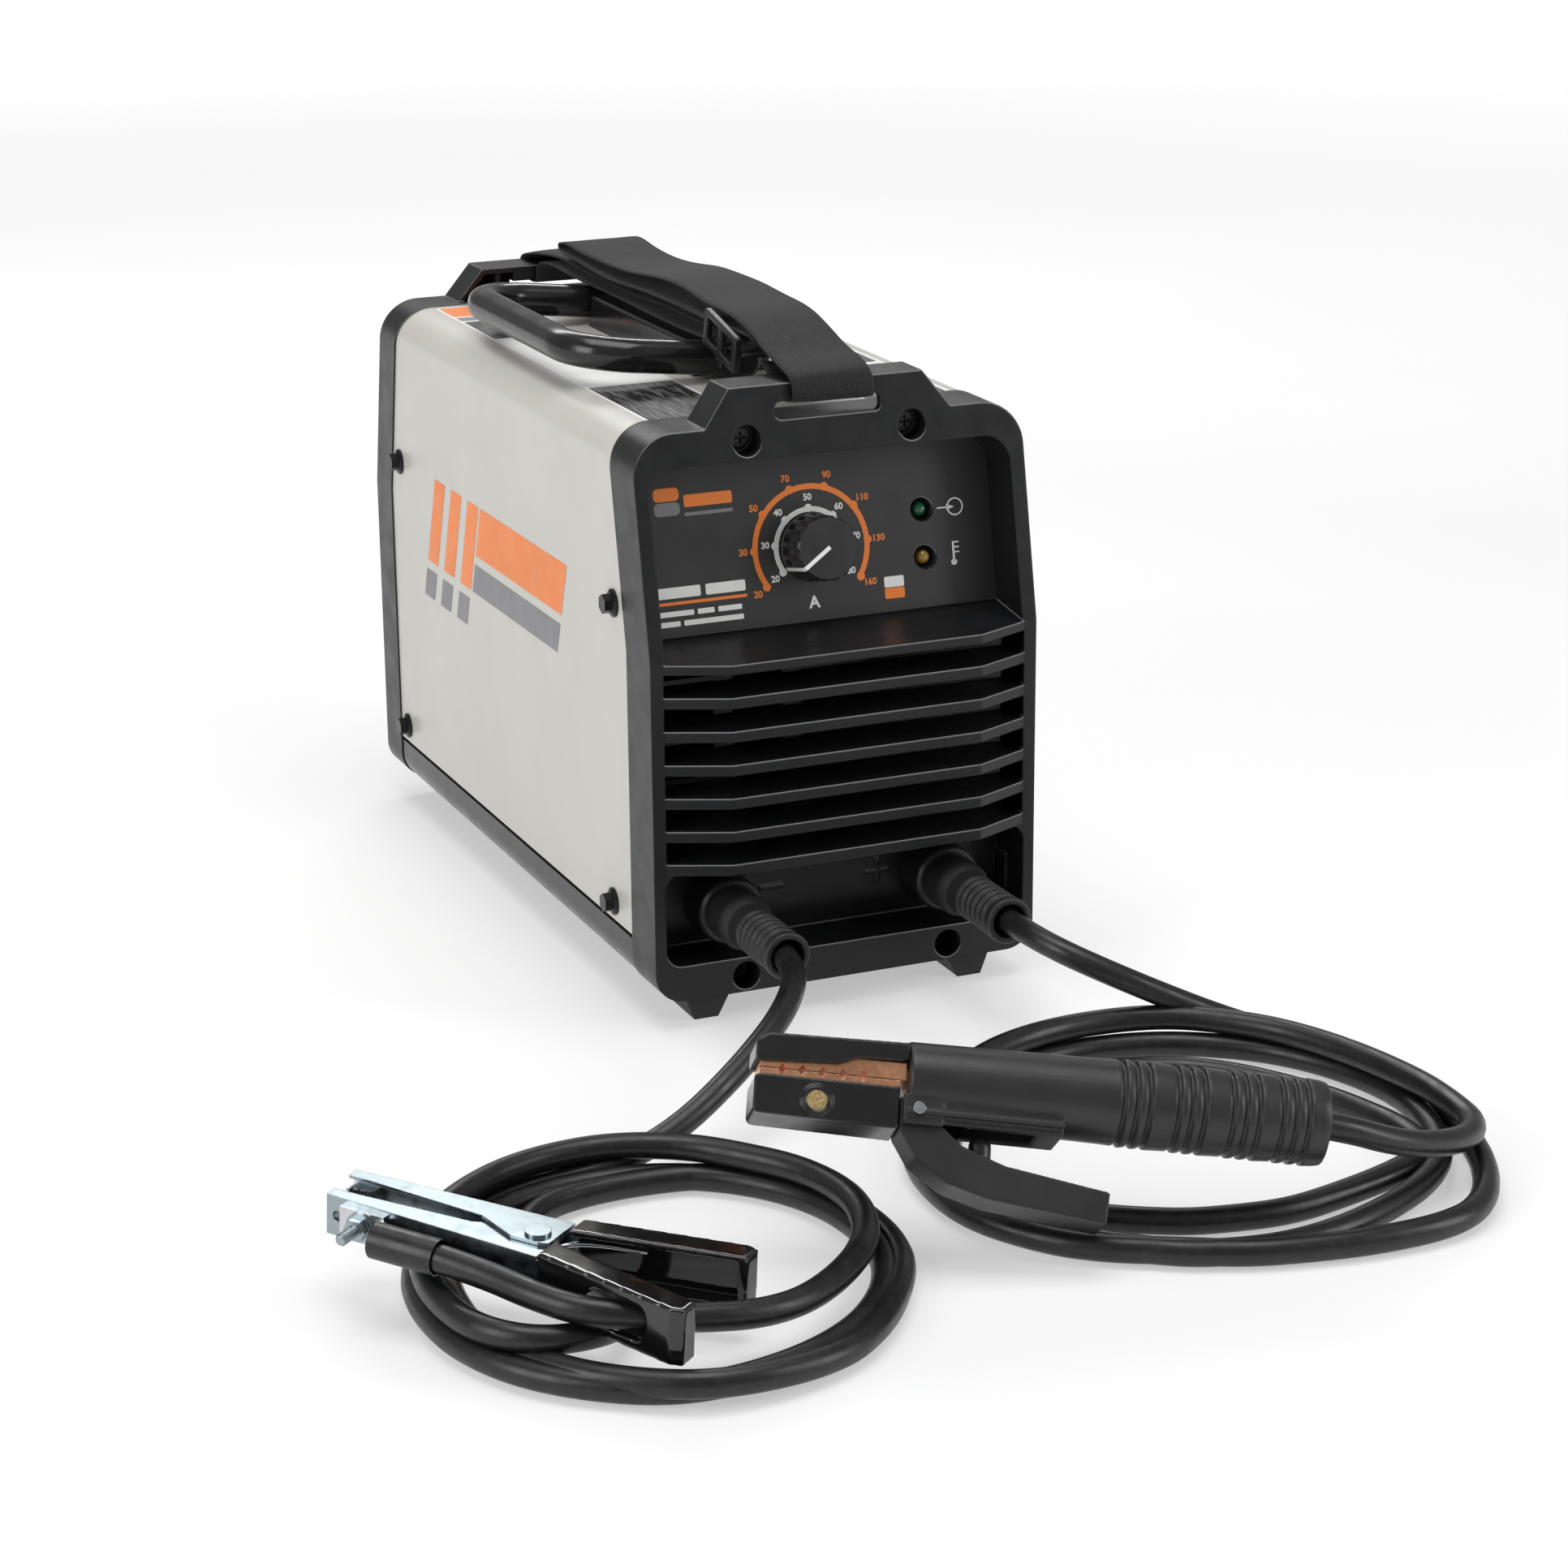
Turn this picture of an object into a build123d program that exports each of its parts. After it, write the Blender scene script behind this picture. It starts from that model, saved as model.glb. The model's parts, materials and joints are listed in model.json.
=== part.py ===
"""Stick welder: inverter case, carry handle and strap, two coiled welding leads, electrode holder and clamp.

Millimetres. +X is to the right seen from the front, the front faces -Y, +Z is up. The origin is on the floor
under the middle of the case.
"""

from build123d import *
import math
import os

# ---- case ------------------------------------------------------------------------------------------------
HALF_WIDTH = 96.0
CASE_BOTTOM = 14.0
KINK_Y = 200.7  # front and rear faces stand upright below the kink and lean inwards above it
KINK_Z = 174.7
SHOULDER_Z = 275.0
TOWER_TOP_Z = 292.0
LEAN = 22.8  # how far the face has leaned in at the tower's top
CORNER_R = 20.0
LOW_CORNER_R = 14.0
WALL = 3.2
FACE_WALL = 4.0
RIM_FRONT = 29.7  # depth of the front panel's rim at the kink
RIM_REAR = 25.2
TOWER_BASE, TOWER_TOP = 60.5, 47.6
TOWER_DEPTH = 21.0
SHEET = 1.2
COVER_INSET = 0.8
COVER_BOTTOM = 38.0

# ---- control recess, measured in the leaning face ----------------------------------------------------------
RECESS_HALF = 89.0
RECESS_TOP = 86.8
RECESS_DEPTH = 25.6
LABEL_T = 1.5
SHELF_BACK_Z = 178.7
DIAL_X, DIAL_T = -3.0, 43.1
KNOB_R, KNOB_L = 15.7, 20.0
LED_X = 54.0
LED_T = (54.8, 32.6)

# ---- louvres and connector pocket ----------------------------------------------------------------------------
SLOT_TOP, SLOT_PITCH, SLOT_H, SLOT_COUNT = 170.2, 15.7, 10.6, 6
LOUVRE_HALF, LOUVRE_FLAT, BULGE = 89.8, 62.0, 12.5
POCKET_LOW, POCKET_HIGH, POCKET_HALF = 31.0, 75.8, 90.5
POCKET_BACK = 173.0
SOCKET_X, SOCKET_Z = 55.0, 51.0
SYMBOL_X, SYMBOL_Z = 27.0, 53.0
LOW_HOLE = (51.3, 22.0, 6.75)
TOP_HOLE = (40.6, 268.3, 7.0)

# ---- strap -----------------------------------------------------------------------------------------------------
STRAP_X = (-20.0, 24.0)
SLOT_LOW, SLOT_HIGH, STRAP_SLOT_HALF = 276.0, 284.0, 26.0

# ---- carry handle ------------------------------------------------------------------------------------------------
HANDLE_PIVOT_Z = 283.0
HANDLE_Y = 2.5
HANDLE_SPAN = 80.5
HANDLE_REACH = 80.0
HANDLE_TILT = 6.5
BLOCK_HALF_X, BLOCK_HALF_Y, BLOCK_TOP = 20.0, 70.0, 290.0

# ---- welding leads -------------------------------------------------------------------------------------------------
CABLE_D = 11.3
PLUG_Y = -258.0  # open end of the plug boots
BOOT_BORE = 22.0
WORK_ROUTE = [
    (-55.0, -236.0, 51.0),
    (-55.0, -268.0, 51.0),
    (-73.0, -300.0, 45.0),
    (-107.0, -327.0, 32.0),
    (-146.0, -345.0, 15.0),
    (-184.0, -350.0, 6.2),
]
ELECTRODE_ROUTE = [
    (55.0, -236.0, 51.0),
    (55.0, -267.0, 51.0),
    (63.0, -291.0, 47.0),
    (82.0, -307.0, 38.0),
    (106.0, -314.0, 26.0),
    (131.0, -319.0, 14.0),
    (153.0, -332.0, 6.5),
    (167.0, -355.0, 6.0),
]
# an oval ring on the floor: its top is at `mid` over the centre and rises by `rise` per millimetre along x and y
WORK_COIL = {"centre": (-190.0, -447.0), "outer": (106.0, 114.0), "band": 40.0, "mid": 17.0, "rise": (0.054, 0.045)}
ELECTRODE_COIL = {"centre": (54.0, -424.0), "outer": (130.0, 124.0), "band": 58.0, "mid": 17.2, "rise": (0.042, 0.048)}

# ---- work clamp and electrode holder, each built about its own axis and then laid on its coil ---------------------
CLAMP_AT, CLAMP_TURN, CLAMP_PITCH = (-303.7, -394.5, 34.0), -50.2, 3.3
HOLDER_AT, HOLDER_TURN, HOLDER_PITCH, HOLDER_ROLL = (-89.0, -452.5, 70.0), -19.3, 8.3, 53.0
HOLDER_L = 168.7


# ---- drawing helpers -------------------------------------------------------------------------------------------------
def polygon(points):
    return make_face(Polyline(*points, close=True))


def rounded(points, radii):
    return make_face(FilletPolyline(*points, radius=radii, close=True))


def along_x(face, low, high):
    """Extrude a face drawn as (y, z) from x = low to x = high."""
    return extrude(Plane.YZ.offset(low) * face, high - low)


def along_y(face, low, high):
    """Extrude a face drawn as (x, z) from y = low to y = high."""
    return extrude(Plane.XZ.offset(-high) * face, high - low)


def along_z(face, low, high):
    return extrude(Plane.XY.offset(low) * face, high - low)


def box(x, y, z):
    """A box from three (low, high) pairs."""
    size = [high - low for low, high in (x, y, z)]
    return Pos(*[(low + high) / 2 for low, high in (x, y, z)]) * Box(*size)


def rod_x(radius, low, high, y, z):
    return Pos((low + high) / 2, y, z) * Rot(0, 90, 0) * Cylinder(radius, high - low)


def rod_y(radius, low, high, x, z):
    return Pos(x, (low + high) / 2, z) * Rot(90, 0, 0) * Cylinder(radius, high - low)


def rod_z(radius, low, high, x, y):
    return Pos(x, y, (low + high) / 2) * Cylinder(radius, high - low)


def turned(points):
    """Turn a closed outline of (radius, distance along +Z) about the Z axis."""
    return revolve(Plane.XZ * polygon(points), Axis.Z)


def group(*shapes):
    """Separate solids kept in one node."""
    solids = []
    for shape in shapes:
        solids += shape.solids()
    return Compound(children=solids)


def tube(route, name):
    """A cable along straight runs joined by tangent arcs."""
    points = [Vector(*p) for p in route]
    radii = []
    for before, here, after in zip(points, points[1:], points[2:]):
        turn = (here - before).get_angle(after - here)
        run = min((here - before).length, (after - here).length)
        radii.append(0.45 * run / math.tan(math.radians(turn / 2)))
    path = FilletPolyline(*route, radius=radii)
    start = Plane(origin=route[0], z_dir=points[1] - points[0])
    solid = sweep(start * Circle(CABLE_D / 2), path=path)
    section = math.pi * (CABLE_D / 2) ** 2
    print(name, "radii", [round(r) for r in radii], "volume / section x length",
          round(solid.volume / (section * path.length), 3), "length", round(path.length))
    return solid


# ---- the case's shape ----------------------------------------------------------------------------------------------------
def face_y(z):
    """The front face's y at a height."""
    if z <= KINK_Z:
        return -KINK_Y
    return -KINK_Y + LEAN * (z - KINK_Z) / (TOWER_TOP_Z - KINK_Z)


def outline(inset=0.0):
    """The case seen from the front, as (x, z), without the strap tower."""
    x = HALF_WIDTH - inset
    low, high = CASE_BOTTOM + inset, SHOULDER_Z - inset
    corners = [(-x, low), (x, low), (x, high), (-x, high)]
    return rounded(corners, [LOW_CORNER_R - inset] * 2 + [CORNER_R - inset] * 2)


def between_faces(front, rear):
    """A prism between the leaning front face, `front` behind it, and the rear face, `rear` inside it."""
    heights = (0.0, KINK_Z, 310.0)
    points = [(face_y(z) + front, z) for z in heights]
    points += [(-face_y(z) - rear, z) for z in reversed(heights)]
    return along_x(polygon(points), -110.0, 110.0)


def face_slab(front, back):
    """A prism from `front` behind the front face to `back` behind it."""
    heights = (0.0, KINK_Z, 310.0)
    points = [(face_y(z) + front, z) for z in heights]
    points += [(face_y(z) + back, z) for z in reversed(heights)]
    return along_x(polygon(points), -110.0, 110.0)


def tower_outline(inset=0.0):
    base = SHOULDER_Z - 6.0
    widen = (TOWER_BASE - TOWER_TOP) / (TOWER_TOP_Z - SHOULDER_Z) * 6.0
    half, top = TOWER_BASE + widen - inset, TOWER_TOP - inset * 0.6
    return polygon([(-half, base), (half, base), (top, TOWER_TOP_Z - inset), (-top, TOWER_TOP_Z - inset)])


def moulded_shell(rim):
    """Rim, face wall and strap tower shared by the front and the rear panel, facing -Y."""
    shell = along_y(outline(), -230.0, -100.0) & face_slab(0.0, rim)
    shell -= along_y(outline(WALL), -230.0, -100.0) & face_slab(FACE_WALL, rim + 10.0)
    tower = along_y(tower_outline(), -230.0, -100.0) & face_slab(0.0, TOWER_DEPTH)
    tower -= along_y(tower_outline(WALL), -230.0, -100.0) & face_slab(FACE_WALL, TOWER_DEPTH + 1.0)
    shelf = along_y(polygon([(-60.0, 271.9), (60.0, 271.9), (60.0, 275.0), (-60.0, 275.0)]), -230.0, -100.0)
    tower += shelf & face_slab(1.0, TOWER_DEPTH)
    shell += tower
    for x in (-38.0, 38.0):
        shell += box((x - 1.2, x + 1.2), (-179.0, -160.0), (274.0, 290.0)) & face_slab(1.0, TOWER_DEPTH)
    bar = box((-30.0, 30.0), (-180.0, -150.0), (SLOT_HIGH, TOWER_TOP_Z)) & face_slab(1.0, TOWER_DEPTH)
    shell += bar
    slot = rounded(
        [(-STRAP_SLOT_HALF, SLOT_LOW), (STRAP_SLOT_HALF, SLOT_LOW), (STRAP_SLOT_HALF, SLOT_HIGH),
         (-STRAP_SLOT_HALF, SLOT_HIGH)], [3.0] * 4)
    return shell - along_y(slot, -230.0, -150.0)


def screw_wells(panel):
    """Deep round wells that hold the panel's four screws."""
    for (x, z, r), depth in ((LOW_HOLE, 19.0), (TOP_HOLE, 14.0)):
        front = face_y(z)
        for side in (-x, x):
            panel += rod_y(r + 2.2, front + 2.0, front + depth, side, z) & along_y(outline(1.0), -230.0, -100.0)
            panel -= rod_y(r, front - 10.0, front + depth - 3.0, side, z)
            panel -= rod_y(2.4, front - 10.0, front + depth + 5.0, side, z)
    return panel


def cover_ears(panel, screws):
    """Tongues behind the cover that the side screws bite into."""
    for y, z in screws:
        for side in (-1, 1):
            x = sorted((side * 89.4, side * 92.9))
            panel += box(x, (-184.0, y + 8.0), (z - 9.0, z + 9.0))
            panel -= rod_x(2.0, side * 92.0 - 4.0, side * 92.0 + 4.0, y, z)
    return panel


FRONT_SCREWS = ((-154.0, 193.0), (-146.0, 47.0))
REAR_SCREWS = ((-161.0, 193.0), (-164.0, 47.0))  # as seen before the rear panel is turned round


def recess_plane(depth=0.0):
    """The leaning face's plane, `depth` behind it, with its own x and a y that runs up the slope."""
    normal = Vector(0, -(TOWER_TOP_Z - KINK_Z), LEAN).normalized()
    return Plane(origin=Vector(0, -KINK_Y, KINK_Z) - normal * depth, x_dir=(1, 0, 0), z_dir=normal)


def recess_face(grow=0.0, low=-6.0):
    half, top = RECESS_HALF + grow, RECESS_TOP + grow
    return rounded([(-half, low), (half, low), (half, top), (-half, top)], [0, 0, 13.0 + grow, 13.0 + grow])


def recess_prism(face, front, back):
    return extrude(recess_plane(back) * face, back - front)


def louvre_bar(low, high, back):
    points = [(-91.5, back), (-91.5, -KINK_Y), (-LOUVRE_HALF, -KINK_Y), (-LOUVRE_FLAT, -KINK_Y - BULGE)]
    points += [(-x, y) for x, y in reversed(points)]
    return along_z(polygon(points), low, high)


def front_panel():
    panel = moulded_shell(RIM_FRONT)
    above_shelf = box((-100, 100), (-240, -100), (KINK_Z - 4.0, 300))
    tub = recess_prism(recess_face(2.6), 2.0, RECESS_DEPTH + LABEL_T + 2.5) & along_y(outline(0.5), -230, -100)
    panel += tub & above_shelf
    panel -= recess_prism(recess_face(), -30.0, RECESS_DEPTH + LABEL_T) & above_shelf
    panel -= box((-LOUVRE_HALF, LOUVRE_HALF), (-240, -190), (POCKET_HIGH, KINK_Z))
    panel += along_x(polygon([(-196.0, SLOT_TOP), (-KINK_Y, KINK_Z), (-171.0, SHELF_BACK_Z), (-171.0, SLOT_TOP)]),
                     -92.0, 92.0)
    panel += louvre_bar(SLOT_TOP, KINK_Z, -190.0)
    for i in range(1, SLOT_COUNT):
        top = SLOT_TOP - SLOT_PITCH * i
        panel += louvre_bar(top, top + SLOT_PITCH - SLOT_H, -184.0)
    last = SLOT_TOP - SLOT_PITCH * (SLOT_COUNT - 1) - SLOT_H
    panel += louvre_bar(POCKET_HIGH, last, -171.0)
    half = POCKET_HALF
    corners = [(-half, POCKET_LOW), (half, POCKET_LOW), (half, POCKET_HIGH), (-half, POCKET_HIGH)]
    pocket = rounded(corners, [8.0] * 4)
    wall = rounded([(x * 1.028, z + (2.5 if z > 50 else -2.5)) for x, z in corners], [9.0] * 4)
    panel += along_y(wall, -198.0, -POCKET_BACK + 2.5)
    panel -= along_y(pocket, -230.0, -POCKET_BACK)
    for x in (-SOCKET_X, SOCKET_X):
        panel -= rod_y(14.0, -180.0, -160.0, x, SOCKET_Z)
    bar = box((-6.0, 6.0), (-POCKET_BACK - 1.0, -POCKET_BACK + 0.5), (-1.1, 1.1))
    upright = box((-1.1, 1.1), (-POCKET_BACK - 1.0, -POCKET_BACK + 0.5), (-6.5, 6.5))
    panel += Pos(-SYMBOL_X, 0, SYMBOL_Z) * bar
    panel += Pos(SYMBOL_X, 0, SYMBOL_Z) * (bar + upright)
    panel -= recess_prism(Pos(DIAL_X, DIAL_T) * Circle(4.2), 0.0, 40.0)
    for t in LED_T:
        panel -= recess_prism(Pos(LED_X, t) * Circle(5.9), 0.0, 40.0)
    return cover_ears(screw_wells(panel), FRONT_SCREWS)


# ---- rear panel, built facing -Y and then turned round -----------------------------------------------------------------
FAN_Z = 148.0
SWITCH_AT, GLAND_AT = (-45.0, 62.0), (45.0, 62.0)


def turned_round(shape):
    return Rot(0, 0, 180) * shape


def fan_grille():
    """Ring slots over the fan, cut through the bulged guard."""
    rings = None
    for i in range(5):
        inner = 6.0 + 7.4 * i
        ring = along_y(Circle(inner + 4.6) - Circle(inner), -240.0, -150.0)
        rings = ring if rings is None else rings + ring
    spokes = Box(4.0, 500, 110) + Box(110, 500, 4.0)
    return Pos(0, 0, FAN_Z) * (rings - Rot(0, 45, 0) * spokes)


def rear_panel():
    panel = moulded_shell(RIM_REAR)
    guard = [(-70.0, -198.0), (-58.0, -KINK_Y - BULGE), (58.0, -KINK_Y - BULGE), (70.0, -198.0)]
    panel += along_z(polygon(guard), 96.0, KINK_Z + 20.0) - box((-54, 54), (-209.7, -190), (99.0, KINK_Z + 17.0))
    panel -= box((-54, 54), (-205, -190), (99.0, KINK_Z + 17.0))
    panel -= fan_grille()
    for side in (-1, 1):
        for i in range(6):
            low = 105.0 + 12.0 * i
            panel -= box(sorted((side * 74.0, side * 88.0)), (-205, -190), (low, low + 6.0))
    x, z = SWITCH_AT
    panel -= box((x - 10.2, x + 10.2), (-205, -190), (z - 14.2, z + 14.2))
    panel -= rod_y(10.1, -205, -190, *GLAND_AT)
    return turned_round(cover_ears(screw_wells(panel), REAR_SCREWS))


def panel_screws():
    """Eight pan-head screws at the bottom of the panels' wells."""
    screws = []
    for (x, z, _), depth in ((LOW_HOLE, 19.0), (TOP_HOLE, 14.0)):
        seat = face_y(z) + depth - 3.0
        for side in (-x, x):
            screw = rod_y(4.4, seat - 3.0, seat, side, z) + rod_y(2.35, seat, seat + 12.0, side, z)
            screw -= box((side - 2.6, side + 2.6), (seat - 4, seat - 1.6), (z - 0.5, z + 0.5))
            screw -= box((side - 0.5, side + 0.5), (seat - 4, seat - 1.6), (z - 2.6, z + 2.6))
            screws += [screw, turned_round(screw)]
    return group(*screws)


def case_cover():
    """Painted sheet over the top and both sides."""
    sheet = along_y(outline(COVER_INSET) - outline(COVER_INSET + SHEET), -230.0, 230.0)
    sheet &= between_faces(RIM_FRONT, RIM_REAR)
    sheet &= box((-100, 100), (-230, 230), (COVER_BOTTOM, 300))
    for y, z in FRONT_SCREWS + tuple((-y, z) for y, z in REAR_SCREWS):
        sheet -= rod_x(2.6, -100.0, 100.0, y, z)
    for y in (HANDLE_Y - 50.0, HANDLE_Y + 50.0):
        sheet -= rod_z(2.6, 260.0, 290.0, 0.0, y)
    return sheet


def base_pan():
    """Black tray whose side walls show below the cover and run up behind it."""
    skin = along_y(outline(0.6) - outline(2.1), -230.0, 230.0) & box((-100, 100), (-230, 230), (0, 36.4))
    flange = along_y(outline(2.1) - outline(3.1), -230.0, 230.0) & box((-100, 100), (-230, 230), (30.0, 56.0))
    tray = (skin + flange) & between_faces(RIM_FRONT, RIM_REAR)
    for y, z in ((FRONT_SCREWS[1]), (-REAR_SCREWS[1][0], REAR_SCREWS[1][1])):
        tray -= rod_x(2.6, -100.0, 100.0, y, z)
    return tray


def feet():
    corners = [(61.6, 0.0), (73.5, 0.0), (79.0, CASE_BOTTOM), (54.0, CASE_BOTTOM)]
    blocks = []
    for low, high in ((-190.6, -150.0), (150.0, 190.6)):
        foot = along_y(polygon(corners), low, high)
        blocks += [foot, mirror(foot, Plane.YZ)]
    return group(*blocks)


def cover_screws():
    """Hex flange screws, two at each end of each side."""
    screws = []
    for y, z in FRONT_SCREWS + tuple((-y, z) for y, z in REAR_SCREWS):
        seat = HALF_WIDTH - COVER_INSET
        flange = turned([(0, seat), (6.6, seat), (6.6, seat + 0.9), (5.0, seat + 1.9), (0, seat + 1.9)])
        head = Pos(0, 0, seat + 1.5) * extrude(RegularPolygon(4.6, 6), 4.2)
        shank = Pos(0, 0, seat - 3.5) * Cylinder(1.95, 8.0)
        screw = Pos(0, y, z) * Rot(0, 90, 0) * (flange + head + shank)
        screws += [screw, mirror(screw, Plane.YZ)]
    return group(*screws)


# ---- controls ------------------------------------------------------------------------------------------------------------
def on_recess(x, t, depth, shape):
    """Put a shape built about +Z on the leaning face at (x, t), `depth` behind it, with +Z pointing out."""
    plane = recess_plane(depth)
    return Plane(origin=plane.from_local_coords((x, t, 0)), x_dir=(1, 0, 0), z_dir=plane.z_dir).location * shape


def control_label():
    plate = recess_prism(recess_face(-0.05, 9.8), RECESS_DEPTH, RECESS_DEPTH + LABEL_T)
    plate -= recess_prism(Pos(DIAL_X, DIAL_T) * Circle(4.2), 0.0, 40.0)
    for t in LED_T:
        plate -= recess_prism(Pos(LED_X, t) * Circle(5.9), 0.0, 40.0)
    return plate


POINTER_ANGLE = 214.0  # where the pointer stands at rest, from +x
POINTER_START, POINTER_HALF = -1.0, 0.95
FLUTES = 16


def pointer_strip():
    """White line from the knob's middle over its rim and down its side."""
    r, top = KNOB_R, KNOB_L
    side = [(POINTER_START, top - 0.8), (r - 2.8, top - 0.8), (r - 1.6, 1.2), (r + 0.3, 1.2)]
    side += [(r + 0.1, 3.4), (r - 0.5, top - 1.2), (r - 1.4, top + 0.1), (POINTER_START, top + 0.1)]
    strip = along_y(polygon(side), -POINTER_HALF, POINTER_HALF)
    return Rot(0, 0, POINTER_ANGLE) * strip


def amperage_knob():
    """Fluted knob round its white pointer line."""
    r, top = KNOB_R, KNOB_L
    knob = turned([(0, 0.6), (r, 0.6), (r - 0.1, 3.4), (r - 0.8, top - 1.2), (r - 1.7, top), (0, top)])
    for i in range(FLUTES):
        angle = POINTER_ANGLE + 360.0 / FLUTES * (i + 0.5)
        knob -= Rot(0, 0, angle) * Pos(r + 0.6, 0, top / 2 + 3.4) * Cylinder(2.2, top)
    knob -= Pos(0, 0, 5.0) * Cylinder(3.05, 20.0)
    return on_recess(DIAL_X, DIAL_T, RECESS_DEPTH, knob - pointer_strip())


def knob_pointer():
    return on_recess(DIAL_X, DIAL_T, RECESS_DEPTH, pointer_strip())


def potentiometer():
    """Shaft in the knob, threaded collar and nut through the panel, body behind it."""
    body = Pos(0, 0, -13.0) * Cylinder(9.0, 9.0) + Pos(0, 0, -5.0) * Cylinder(4.15, 8.0)
    body += Pos(0, 0, 2.0) * Cylinder(3.0, 22.0)
    return on_recess(DIAL_X, DIAL_T, RECESS_DEPTH, body)


def led_lens():
    return turned([(0, -6.0), (3.2, -6.0), (3.2, -3.2), (2.6, -1.9), (1.4, -1.1), (0, -0.9)])


def led_lens_power():
    return on_recess(LED_X, LED_T[0], RECESS_DEPTH, led_lens())


def led_lens_fault():
    return on_recess(LED_X, LED_T[1], RECESS_DEPTH, led_lens())


def led_bezels():
    cup = turned([(3.3, -6.0), (5.0, -2.4), (5.85, -0.1), (5.85, -9.0), (0, -9.0), (0, -6.0)])
    return group(*[on_recess(LED_X, t, RECESS_DEPTH, cup) for t in LED_T])


# ---- output sockets and plugs -------------------------------------------------------------------------------------------
def on_socket(side, shape):
    """Put a shape built about +Z at a socket, with +Z pointing out of the front and z = 0 at y = 0."""
    return Pos(side * SOCKET_X, 0, SOCKET_Z) * Rot(90, 0, 0) * shape


def output_socket_shells():
    shell = turned(
        [(9.6, 150), (13.9, 150), (13.9, 173), (16, 173), (16, 192.6), (14.8, 194), (11.2, 194), (9.6, 192.6)])
    return group(on_socket(-1, shell), on_socket(1, shell))


def output_socket_contacts():
    contact = turned([(0, 138), (5, 138), (5, 150), (9.6, 150), (9.6, 191), (6.55, 191), (6.55, 166), (0, 166)])
    return group(on_socket(-1, contact), on_socket(1, contact))


def plug_boot():
    """Moulded boot: grip collar, waist, five ribs and an open lip round the cable."""
    ribs = []
    for i in range(5):
        start = 226.0 + 5.2 * i
        ribs += [(9.4, start), (10.7, start + 0.8), (10.7, start + 2.8), (9.4, start + 3.6)]
    points = [(6.5, 194.3), (13.2, 194.3), (13.2, 209), (12.2, 212), (11.0, 215), (10.8, 223)] + ribs
    points += [(9.6, 253), (11.0, 254.5), (11.0, 257), (10.4, 258), (8.0, 258), (8.0, 235.6), (6.5, 235.6)]
    return turned(points)


def plug_pin():
    return turned([(0, 168.5), (5.6, 168.5), (6.5, 170.5), (6.5, 235.6), (0, 235.6)])


def positive_plug_boot():
    return on_socket(1, plug_boot())


def positive_plug_pin():
    return on_socket(1, plug_pin())


def negative_plug_boot():
    return on_socket(-1, plug_boot())


def negative_plug_pin():
    return on_socket(-1, plug_pin())


# ---- leads -----------------------------------------------------------------------------------------------------------------
def coil(centre, outer, band, mid, rise):
    """The outer shape of a coil lying on the floor: an oval ring with a slightly sloping top."""
    ring = Ellipse(*outer) - Ellipse(outer[0] - band, outer[1] - band)
    ring = Pos(*centre) * extrude(ring, 60.0)
    top = Plane(origin=(centre[0], centre[1], mid), x_dir=(1, 0, rise[0]), z_dir=(-rise[0], -rise[1], 1))
    return ring - extrude(top * Rectangle(500, 500), 100.0)


def work_lead_coil():
    return coil(**WORK_COIL)


def electrode_lead_coil():
    return coil(**ELECTRODE_COIL)


def work_lead_tube():
    return tube(WORK_ROUTE, "work lead")


def electrode_lead_tube():
    return tube(ELECTRODE_ROUTE, "electrode lead")


def clamp_place():
    return Pos(*CLAMP_AT) * Rot(0, 0, CLAMP_TURN) * Rot(0, CLAMP_PITCH, 0)


def holder_place():
    return Pos(*HOLDER_AT) * Rot(0, 0, HOLDER_TURN) * Rot(0, HOLDER_PITCH, 0) * Rot(HOLDER_ROLL, 0, 0)


def to_world(place, points):
    return [tuple((place * Pos(*p)).position) for p in points]


def work_lead_tail():
    """From the lug along the outside of the clamp's near grip, through its slot and down onto the coil."""
    return tube(to_world(clamp_place(), CLAMP_TAIL) + WORK_TAIL, "work lead tail")


def electrode_lead_tail():
    start = to_world(holder_place(), [(HOLDER_L - 24.0, 0, 0), (HOLDER_L + 4.0, 0, 0)])
    return tube(start + HOLDER_TAIL, "electrode lead tail")


# ---- carry handle and strap ------------------------------------------------------------------------------------------------
HANDLE_R, EYE_R = 8.2, 8.5
ARM_FRONT, ARM_REAR = HANDLE_Y - HANDLE_SPAN, HANDLE_Y + HANDLE_SPAN


def carry_handle():
    """A bar bent to a U, with an eye at each end that turns on a pin."""
    rise = HANDLE_REACH * math.tan(math.radians(HANDLE_TILT))
    grip_z = HANDLE_PIVOT_Z + rise
    corners = [(0, ARM_FRONT, HANDLE_PIVOT_Z), (-HANDLE_REACH, ARM_FRONT, grip_z),
               (-HANDLE_REACH, ARM_REAR, grip_z), (0, ARM_REAR, HANDLE_PIVOT_Z)]
    path = FilletPolyline(*corners, radius=[28.0, 28.0])
    start = Plane(origin=corners[0], z_dir=Vector(*corners[1]) - Vector(*corners[0]))
    bar = sweep(start * Circle(HANDLE_R), path=path)
    for y in (ARM_FRONT, ARM_REAR):
        for low, high in ((y - 10.0, y - 6.5), (y + 6.5, y + 10.0)):
            bar -= box((-14.0, 14.0), (low, high), (HANDLE_PIVOT_Z - 15.0, HANDLE_PIVOT_Z + 15.0))
        bar += rod_y(EYE_R, y - 6.5, y + 6.5, 0, HANDLE_PIVOT_Z)
        bar -= rod_y(3.05, y - 12, y + 12, 0, HANDLE_PIVOT_Z)
    return bar


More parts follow.
